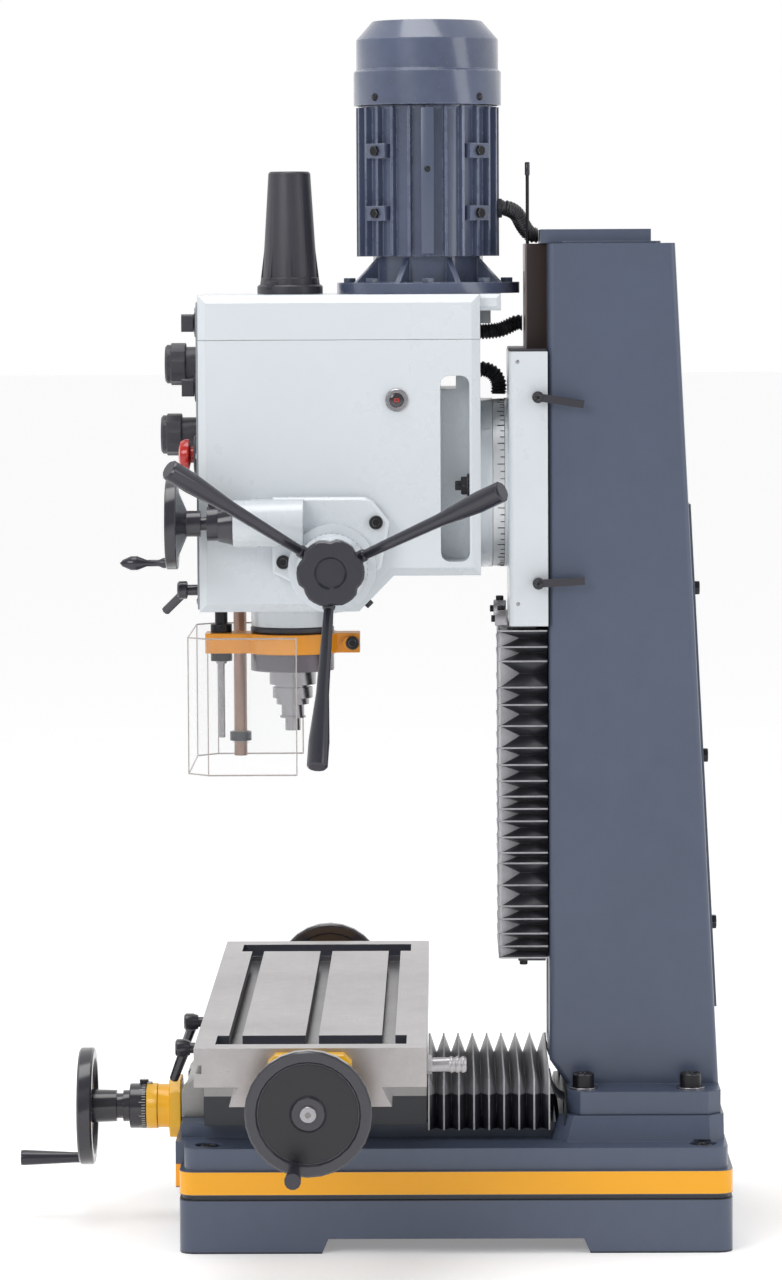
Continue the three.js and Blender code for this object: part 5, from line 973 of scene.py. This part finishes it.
def cover_end_wings():
    """The bed cover's two end wings, each bent off its top edge and down beside the column's foot."""
    outer = [(103.4, 183), (104.4, 174), (107, 166), (112, 160), (118.6, 156), (118.6, 127)]
    inner = [(y - 1.4, z - 0.6) for y, z in reversed(outer)]
    along_x = Matrix(((0, 0, 1, 0), (1, 0, 0, 0), (0, 1, 0, 0), (0, 0, 0, 1)))
    wings = []
    for low, high in ((98.5, 152.5), (-152.5, -98.5)):
        wing = plate(outer + inner, low, high)
        wing.transform(along_x)
        bmesh.ops.recalc_face_normals(wing, faces=wing.faces)
        wings.append(wing)
    piece("bed_cover_end_wings", wings, "base", "cover_sheet")


def cross_dial_index():
    index = plate(rounded_outline(4, 3.4, 1.2), 0, 1.6, 0.3)
    bright_steel("cross_dial_index", stand(index, (0, -339.8, 151)), "base")


# Pleated covers
FOLD_ANGLE = math.radians(20)
CLOTH_THICKNESS, GUSSET_THICKNESS = 1.1, 0.6
# Heights of the upright cover's ridges, unevenly drawn out as it hangs
WAY_RIDGES = [303.5, 316, 330, 346, 360, 383, 407, 418.5, 435.5, 453, 466.5, 480, 497, 514.5, 533, 557, 580,
    599, 627.5, 643, 660.5]


def merge_folds(form):
    bmesh.ops.remove_doubles(form, verts=form.verts, dist=0.01)
    bmesh.ops.recalc_face_normals(form, faces=form.faces)
    return form


def pleated_channel(stops, ridge, valley, back, ease, tuck):
    """A pleated channel open at the back. stops are its ridges along the pull; ridge and valley are
    (half width, front), ease is how much of a corner is cut off, and tuck the share of a fold's depth that
    its valley cuts off besides. Returns the cloth, its ridge lines and its valley lines."""
    # Ridges at least this far apart have a fold of full depth between them
    full_fold = 15
    ridge_half, ridge_front = ridge
    valley_half, valley_front = valley
    deep = valley_front - ridge_front

    def line(half, front, cut, height):
        return [(half, back, height), (half, front + cut, height), (half - cut, front, height),
            (-half + cut, front, height), (-half, front + cut, height), (-half, back, height)]

    lips = [line(ridge_half, ridge_front, ease, stop) for stop in stops]
    dips = []
    for low, high in zip(stops, stops[1:]):
        share = min(1.0, (high - low) / full_fold)
        half = ridge_half + (valley_half - ridge_half) * share
        dips.append(line(half, ridge_front + deep * share, ease + deep * tuck, (low + high) / 2))

    cloth = bmesh.new()
    for low, high, dip in zip(lips, lips[1:], dips):
        for lip in (low, high):
            edge, fold = [[cloth.verts.new(point) for point in points] for points in (lip, dip)]
            for span in range(len(edge) - 1):
                cloth.faces.new((edge[span], edge[span + 1], fold[span + 1], fold[span]))
    return merge_folds(cloth), lips, dips


def corner_gussets(lips, dips):
    """The triangles that close each fold at the cover's front corners."""
    # How far the fold's inner point is drawn in towards the middle
    drawn_in = 6
    gussets = bmesh.new()
    for low, high, dip in zip(lips, lips[1:], dips):
        x, y, z = dip[2]
        for side in (1, -1):
            corner, front = [[(side * point[0], *point[1:]) for point in points]
                for points in ((low[1], high[1], dip[1]), (low[2], high[2], (x - drawn_in, y, z)))]
            strip = [corner[0], corner[1], front[1], front[0]]
            for outline in (corner, front, strip):
                gussets.faces.new([gussets.verts.new(point) for point in outline])
    return merge_folds(gussets)


def lip_cords(lips, radius):
    """The stitched lip that runs round each ridge."""
    return [cord(lip, radius) for lip in lips]


def thicken(made, depth):
    solid = made.modifiers.new("cloth", "SOLIDIFY")
    solid.thickness = depth * MM
    solid.offset = -1
    solid.use_even_offset = False
    bpy.context.view_layer.objects.active = made
    with bpy.context.temp_override(object=made, active_object=made, selected_objects=[made]):
        bpy.ops.object.modifier_apply(modifier=solid.name)
    return made


def way_cover():
    """The upright cover in front of the column's ways, between the base and the lift slide."""
    cloth, lips, dips = pleated_channel(WAY_RIDGES, ridge=(94, 48.6), valley=(78, 66), back=101.5, ease=2.2,
        tuck=0.25)
    cover = piece("way_cover_cloth", cloth, None, "pleated_cloth", FOLD_ANGLE)
    thicken(cover, CLOTH_THICKNESS)
    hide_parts("way_cover")
    # The gussets and lips wear the light grey gusset cloth, a painted highlight on the dark cover
    gussets = corner_gussets(lips, dips)
    corner = piece("way_cover_gussets", gussets, None, "gusset_cloth", FOLD_ANGLE)
    thicken(corner, GUSSET_THICKNESS)
    lip = piece("way_cover_lips", lip_cords(lips, 0.9), None, "gusset_cloth")
    for made in (cover, corner, lip):
        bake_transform(made)


def bed_cover():
    """The cover behind the saddle. It is drawn as an upright channel and laid down to run rearward."""
    front, back, folds = -30.4, 102.7, 8
    margin = 1.5
    run = back - front - 2 * margin
    stops = [front + margin + run * step / folds for step in range(folds + 1)]
    lay = Matrix(((1, 0, 0, 0), (0, 0, 1, 0), (0, -1, 0, 0), (0, 0, 0, 1)))
    cloth, lips, _ = pleated_channel(stops, ridge=(153, -182), valley=(138, -162), back=-124.5, ease=2.5,
        tuck=0)
    cloth.transform(lay)
    bmesh.ops.recalc_face_normals(cloth, faces=cloth.faces)
    lips = [[lay @ Vector(point) for point in lip] for lip in lips]
    cover = piece("bed_cover_cloth", cloth, None, "bed_cloth", FOLD_ANGLE)
    thicken(cover, CLOTH_THICKNESS)
    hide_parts("bed_cover")
    # The lips wear the light grey gusset cloth, a painted highlight on the dark cover
    lip = piece("bed_cover_lips", lip_cords(lips, 1.0), None, "gusset_cloth")
    for made in (cover, lip):
        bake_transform(made)


# Ribbed hoses
HOSE_RADIUS, HOSE_VALLEY, HOSE_PITCH, HOSE_SIDES = 9.0, 6.9, 3.4, 18
# How far apart the rings of a hose's form stand, and how full its ribs are
HOSE_STEP, RIB_FULLNESS = 0.85, 0.7
HOSE_ANGLE = math.radians(60)
# The middle lines of the three hoses, as in the solids
HOSE_ROUTES = {
    "motor_hose": [(0, 52.8, 1118), (0, 60, 1118), (-8, 71, 1112), (-20, 80, 1097), (-25, 87, 1089.4),
        (-25, 95, 1088.8)],
    "upper_hose": [(-30, 30.9, 983), (-30, 38, 983), (-30, 54, 985), (-30, 70, 992), (-30, 77.4, 992.4)],
    "lower_hose": [(-30, 31, 941), (-30, 37, 941), (-30, 46, 936), (-30, 51, 926), (-30, 51, 914)],
}


def curve_point(a, b, c, d, t):
    """A point between b and c on the smooth curve through a, b, c and d."""
    slope = (c - a) * t
    bend = (2 * a - 5 * b + 4 * c - d) * t * t
    twist = (3 * b - a - 3 * c + d) * t ** 3
    return 0.5 * ((2 * b) + slope + bend + twist)


def hose_line(route, step):
    """A smooth line through the route's points, evenly stepped, in millimetres."""
    points = [Vector(point) for point in route]
    ends = [points[0] * 2 - points[1], *points, points[-1] * 2 - points[-2]]
    parts = 24
    fine = [curve_point(*four, k / parts) for four in zip(ends, ends[1:], ends[2:], ends[3:])
        for k in range(parts)]
    fine.append(points[-1])
    lengths = np.cumsum([0] + [(q - p).length for p, q in zip(fine, fine[1:])])
    count = max(2, int(lengths[-1] / step))
    line = []
    for target in np.linspace(0, lengths[-1], count + 1):
        index = min(int(np.searchsorted(lengths, target, side="right")) - 1, len(fine) - 2)
        span = lengths[index + 1] - lengths[index]
        share = 0 if span == 0 else (target - lengths[index]) / span
        line.append(fine[index].lerp(fine[index + 1], share))
    return line


def ribbed_hose(route):
    line = hose_line(route, HOSE_STEP)
    widths, travelled = [], 0.0
    for before, point in zip(line[:1] + line, line):
        travelled += (point - before).length
        wave = 0.5 + 0.5 * math.cos(2 * math.pi * travelled / HOSE_PITCH)
        widths.append(HOSE_VALLEY + (HOSE_RADIUS - HOSE_VALLEY) * wave ** RIB_FULLNESS)
    return swept(line, widths, HOSE_SIDES)


def hose_piece(name, route):
    return piece(name, ribbed_hose(route), None, "hose_rubber", HOSE_ANGLE)


def add_hoses():
    """Each hose runs between two parts of the machine. The motor's hose crosses the head's tilt and the
    slide's lift, so it is two pieces."""
    for name in ("upper_hose", "lower_hose"):
        route = HOSE_ROUTES[name]
        made = hose_piece(f"{name}_ribbed", route)
        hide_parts(name)
        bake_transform(made)
    route = [tuple(point) for point in hose_line(HOSE_ROUTES["motor_hose"], 4.0)]
    middle = len(route) // 2
    first = hose_piece("motor_hose_head_half", route[:middle + 1])
    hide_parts("motor_hose")
    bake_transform(first)
    second = hose_piece("motor_hose_column_half", route[middle:])
    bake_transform(second)


# Swivel and slide
def swivel_ring_marks():
    """Cut marks of the tilt scale, every five degrees, longer at every fifteen."""
    marks = dial_marks((0, 56.2, SWIVEL_Z), TO_FRONT, 91.7, count=72, every=3, short=4.6, long=7.5,
        width=0.7, height=0.5)
    piece("swivel_scale_marks", marks, "slide", "dark_recess")


def swivel_nuts():
    """Hexagon nuts on their studs in the head's two side pockets."""
    places = [(side * 104, 17.8, 819) for side in (-1, 1)]
    nuts = copies(lambda: nut_on_stud(9.6, 9, stud=5.2, stick_out=6.5), places, TO_FRONT)
    dark_steel("swivel_nuts", nuts, "head")
    section = [(10, 0), (13, 0), (13, 2), (12.5, 2.4), (10, 2.4)]
    dark_steel("swivel_washers", copies(lambda: looped(section), places, TO_FRONT), "head")


def slide_details():
    """The wiper on the slide's top edge, the small screws of its gibs and the screws of its two levers."""
    wiper = stand(block(196, 40, 3.2, 0.8), (0, 81.5, 962.4))
    piece("slide_wiper", wiper, "slide", "satin_moulding")
    screws = []
    for x, facing in ((102, TO_RIGHT), (-102, TO_LEFT)):
        screws += copies(lambda: dome_screw(2.2, 0.5), [(x, 70, z) for z in (952, 690)], facing)
    bright_steel("slide_gib_screws", screws, "slide")
    hubs = [(114.2, 92, z) for z in (914, 713)]
    dark_steel("slide_lever_screws", copies(lambda: socket_screw(4.2, 2.6), hubs, TO_RIGHT), "slide")


# Head and its controls
def panel_screws():
    corners = [(side * 104, PANEL_FACE_Y, z) for side in (-1, 1) for z in (695, 852, 1009)]
    bright_steel("panel_screws", copies(lambda: dome_screw(3.6, 1.6), corners, TO_FRONT), "head")


def button_surrounds():
    """The collar round the stop button and the frames round the two switches."""
    buttons_x = 66
    collar = looped([(18.4, 0), (21.5, 0), (21.5, 3.4), (20.4, 4.6), (18.4, 4.6)])
    collar = stand(collar, (buttons_x, PANEL_FACE_Y, 852), TO_FRONT)
    piece("stop_button_collar", collar, "head", "satin_moulding")
    frames = []
    for z in (995, 925):
        outer, inner = rounded_outline(15, 15, 3), rounded_outline(10, 10.4, 1.5)
        form = bmesh.new()
        rings = [[form.verts.new((x, y, height)) for x, y in outline]
            for outline, height in ((outer, 0), (outer, 2.6), (inner, 3.4), (inner, 0))]
        skin_rings(form, rings, closed=True)
        frames.append(stand(form, (buttons_x, PANEL_FACE_Y, z), TO_FRONT))
    piece("switch_frames", frames, "head", "satin_moulding")


def knob_pointers():
    """A white line on each speed knob, and the ring of position dots round it on the panel."""
    knobs_x, dots_radius, positions = -10, 31, 6
    for name, z, reach in (("upper_speed_knob", 949, 39), ("lower_speed_knob", 871.5, 44)):
        line = plate([(-0.9, 4), (0.9, 4), (0.9, 18), (-0.9, 18)], 0, 0.5)
        line = stand(line, (knobs_x, -276.5 - reach, z), TO_FRONT)
        piece(f"{name}_line", line, name, "dial_white")
        places = []
        for step in range(positions):
            angle = math.radians(-120 + 48 * step)
            places.append((knobs_x + dots_radius * math.sin(angle), PANEL_FACE_Y,
                z + dots_radius * math.cos(angle)))
        dots = copies(lambda: turned([(1.6, 0), (1.6, 0.35), (1.3, 0.5)], 12), places, TO_FRONT)
        piece(f"{name}_position_dots", dots, "head", "dial_white")


def housing_screws():
    """Dark socket screws over the feed housing's bolts."""
    places = [(150.2, -182.2, 739.8), (150.2, -82.6, 782)]
    dark_steel("feed_housing_screws", copies(lambda: capped_bolt(7.5, 3.1), places, TO_RIGHT), "head")


def sight_lens():
    """The oil window's lens, with the red frame of its level mark on it."""
    y, z = -60, 912
    lens = turned([(7.8, 0), (7.8, 0.9), (6.5, 1.5), (3, 1.8)], 32)
    piece("oil_sight_lens", stand(lens, (126.7, y, z), TO_RIGHT), "head", "clear_lens")
    marks = []
    for across, up, wide, high in ((-2, 0, 1.2, 4.4), (2, 0, 1.2, 4.4), (0, 1.4, 3, 0.9), (0, -1.4, 3, 0.9)):
        marks.append(stand(block(0.6, wide, high, 0), (128.5, y + across, z + up - high / 2)))
    piece("oil_sight_mark", marks, "head", "red_moulding")


def cap_collar():
    """The collar round the drawbar cap's foot with its catch, and the two small tabs on the cap's sides."""
    ring = looped([(27, 1031.2), (31.8, 1031.2), (31.8, 1042.6), (30.8, 1043.6), (27, 1043.6)], 48)
    latch = block(9, 13, 8.6, 1.2)
    parts = [stand(ring, (0, SPINDLE_Y, 0)), stand(latch, (26, SPINDLE_Y - 19, 1031.4))]
    parts += [stand(block(4, 3.6, 12, 0.6), (0, SPINDLE_Y + side * 25.4, 1064)) for side in (-1, 1)]
    piece("drawbar_cap_collar", parts, "head", "satin_moulding")


def head_plugs():
    """The oil drain plug on the sloping chin, and the block under the lid's ear."""
    down_rearward = (0, 0.71, -0.71)
    dark_steel("oil_drain_plug", stand(hex_head(4.4, 5), (96, -93, 692.6), down_rearward), "head")
    ear = stand(block(26, 12, 15, 0.8), (-30, 36.6, 992))
    piece("lid_ear_block", ear, "head", "slide_enamel")


def motor_fittings():
    """Screws of the motor's flange, lugs and fan cover, its side rib with a screw, and its cable gland."""
    flange = []
    for step in range(8):
        angle = math.pi / 4 * step
        flange.append((86 * math.cos(angle), MOTOR_Y + 86 * math.sin(angle), 1037.5))
    bolts = copies(lambda: hex_head(6.4, 5), flange)
    piece("motor_flange_bolts", bolts, "head", "slate_enamel")
    heads, small = [], []
    for quarter in range(4):
        angle = math.pi / 4 + math.pi / 2 * quarter
        x, y = math.cos(angle), math.sin(angle)
        facing = (x, y, 0)
        for z in (1112.6, 1180):
            heads.append(stand(hex_head(5.2, 3.6), (x * 79.9, MOTOR_Y + y * 79.9, z), facing))
        small.append(stand(dome_screw(4.2, 2.2), (x * 80.3, MOTOR_Y + y * 80.3, 1238), facing))
    dark_steel("motor_lug_screws", heads, "head")
    dark_steel("fan_cover_screws", small, "head")
    rib = stand(block(6.4, 14, 158, 0.8), (77.5, MOTOR_Y, 1068.4))
    piece("motor_side_rib", rib, "head", "slate_enamel")
    dark_steel("motor_rib_screw", stand(dome_screw(3.4, 1.6), (80.5, MOTOR_Y, 1160), TO_RIGHT), "head")
    gland = stand(turned([(10.4, 0, 6), (10.4, 4.4, 6), (9.4, 5)]), (0, 50.4, 1118), TO_REAR)
    piece("motor_cable_gland", gland, "head", "black_moulding")


# Quill, feed and guard
def quill_fittings():
    """The quill's rubber ring, the screw of its stop clamp, and the depth rod's nuts and sleeve."""
    ring = looped([(35.2, 0), (44.6, 0), (46, 1.4), (46, 5.6), (44.6, 7), (35.2, 7)])
    ring = stand(ring, (0, SPINDLE_Y, 653.7))
    piece("quill_bump_ring", ring, "quill", "satin_moulding")
    dark_steel("stop_clamp_screw", stand(capped_bolt(7.4, 5.1), (15.9, -111, 642.4), TO_RIGHT), "quill")
    nuts = [looped([(6.3, low), (11.9, low), (11.9, high - 0.8), (11.2, high), (6.3, high)], 24)
        for low, high in ((622, 631.5), (653.4, 663))]
    nuts.append(looped([(6.1, 663.2), (7.0, 663.2), (7.0, 683), (6.1, 683)], 24))
    dark_steel("depth_rod_nuts", [stand(nut, (0, DEPTH_ROD_Y, 0)) for nut in nuts], "quill")


def feed_fittings():
    """The marks round the feed hub's white band."""
    marks = dial_marks((171.2, -129.5, 733.5), TO_RIGHT, 37.9, count=40, every=5, short=3.6, long=6,
        width=0.7, height=0.45)
    piece("feed_dial_marks", marks, "feed", "dark_recess")


def guard_fittings():
    """The guard's two clips, the bright edges and bends of its sheet, and the foot of its post."""
    places = [(GUARD_POST_X, GUARD_POST_Y, z) for z in (523, 631)]
    collars = copies(lambda: looped([(9.8, 0), (12.2, 0), (12.2, 10), (9.8, 10)]), places)
    piece("guard_clips", collars, "guard", "black_moulding")
    side = [(120, -170), (120, -265.6), (97.6, -288)]
    outline = side + [(-x, y) for x, y in reversed(side)]
    bottom, top = 507, 655
    lines = [cord([(x, y, height) for x, y in outline], 0.8) for height in (bottom, top)]
    lines += [cord([(x, y, bottom), (x, y, top)], 0.65) for x, y in outline]
    piece("guard_edges", lines, "guard", "guard_edge")
    foot = looped([(7.5, 0), (13, 0), (13, 6), (11, 8), (7.5, 8)])
    foot = stand(foot, (GUARD_POST_X, GUARD_POST_Y, 675.9))
    piece("guard_post_foot", foot, "head", "black_enamel")


# Table, saddle and wheels
def bracket_screws():
    screws = []
    for side, facing in ((1, TO_RIGHT), (-1, TO_LEFT)):
        places = [(side * 426.2, y, z) for y in (-182, -118) for z in (240, 176)]
        screws += copies(lambda: socket_screw(5.2, 4.6), places, facing)
    dark_steel("table_bracket_screws", screws, "table")


def table_wheel_fittings():
    """Sunk webs in painted shade, shaft ends of the table's two wheels, and the marks of the dials in their
    hubs.
    """
    for side, facing, name in ((1, TO_RIGHT, "right"), (-1, TO_LEFT, "left")):
        web = looped([(18.7, 0), (50.8, 0), (50.8, 0.3), (18.7, 0.3)], 72)
        web = stand(web, (side * 484.05, TABLE_SCREW_Y, TABLE_SCREW_Z), facing)
        piece(f"{name}_wheel_web", web, "table_screw", "web_black")
        end = turned([(8.6, 0), (8.6, 2.6), (7.8, 3.4), (3, 3.4), (2.4, 2.2)])
        end = stand(end, (side * 487.2, TABLE_SCREW_Y, TABLE_SCREW_Z), facing)
        bright_steel(f"{name}_wheel_end", end, "table_screw")
        marks = dial_marks((side * 437, TABLE_SCREW_Y, TABLE_SCREW_Z), facing, 24.4)
        piece(f"{name}_dial_marks", marks, "table_screw", "dial_white")


def cross_wheel_fittings():
    """The cross wheel's shaft end, its dial's drum and marks, and the bracket's short barrel behind them."""
    end = turned([(8.6, 0), (8.6, 2.2), (7.8, 3), (3, 3), (2.4, 2)])
    bright_steel("cross_wheel_end", stand(end, (0, -417.2, CROSS_SCREW_Z), TO_FRONT), "cross_screw")
    drum = looped([(15, 0), (24.2, 0), (24.9, 0.7), (24.9, 17.4), (24.2, 18), (15, 18)], 64)
    drum = stand(drum, (0, -361, CROSS_SCREW_Z), TO_REAR)
    piece("cross_dial_drum", drum, "cross_dial", "black_enamel")
    marks = dial_marks((0, -343.6, CROSS_SCREW_Z), TO_FRONT, 24.75)
    piece("cross_dial_marks", marks, "cross_dial", "dial_white")
    barrel = looped([(24.35, 0), (25, 0), (25.3, 0.4), (25.3, 11.9), (24.35, 11.9)], 64)
    barrel = stand(barrel, (0, -342.4, CROSS_SCREW_Z), TO_REAR)
    piece("cross_bracket_barrel", barrel, "base", "amber_enamel")


def saddle_fittings():
    """Gib screws and oilers on the saddle's right side."""
    screws = [(150, y, 190) for y in (-250, -190, -110, -50)]
    dark_steel("saddle_gib_screws", copies(lambda: dome_screw(3.8, 1.4), screws, TO_RIGHT), "saddle")
    oilers = copies(lambda: turned([(3.4, 0), (3.4, 1.4), (2.4, 2.2), (1.1, 1.6)], 16),
        [(150, -150, z) for z in (180, 202)], TO_RIGHT)
    piece("saddle_oilers", oilers, "saddle", "bright_plate")


def add_machine_fittings():
    cover_brackets()
    limit_rod()
    cover_end_wings()
    column_fasteners()
    rear_cover_screws()
    cross_dial_index()
    swivel_ring_marks()
    swivel_nuts()
    slide_details()
    panel_screws()
    button_surrounds()
    knob_pointers()
    housing_screws()
    sight_lens()
    cap_collar()
    head_plugs()
    motor_fittings()
    quill_fittings()
    feed_fittings()
    guard_fittings()
    bracket_screws()
    table_wheel_fittings()
    cross_wheel_fittings()
    saddle_fittings()


set_camera()
lay_floor()
light_studio()
dress_solids()
way_cover()
bed_cover()
add_hoses()
add_machine_fittings()
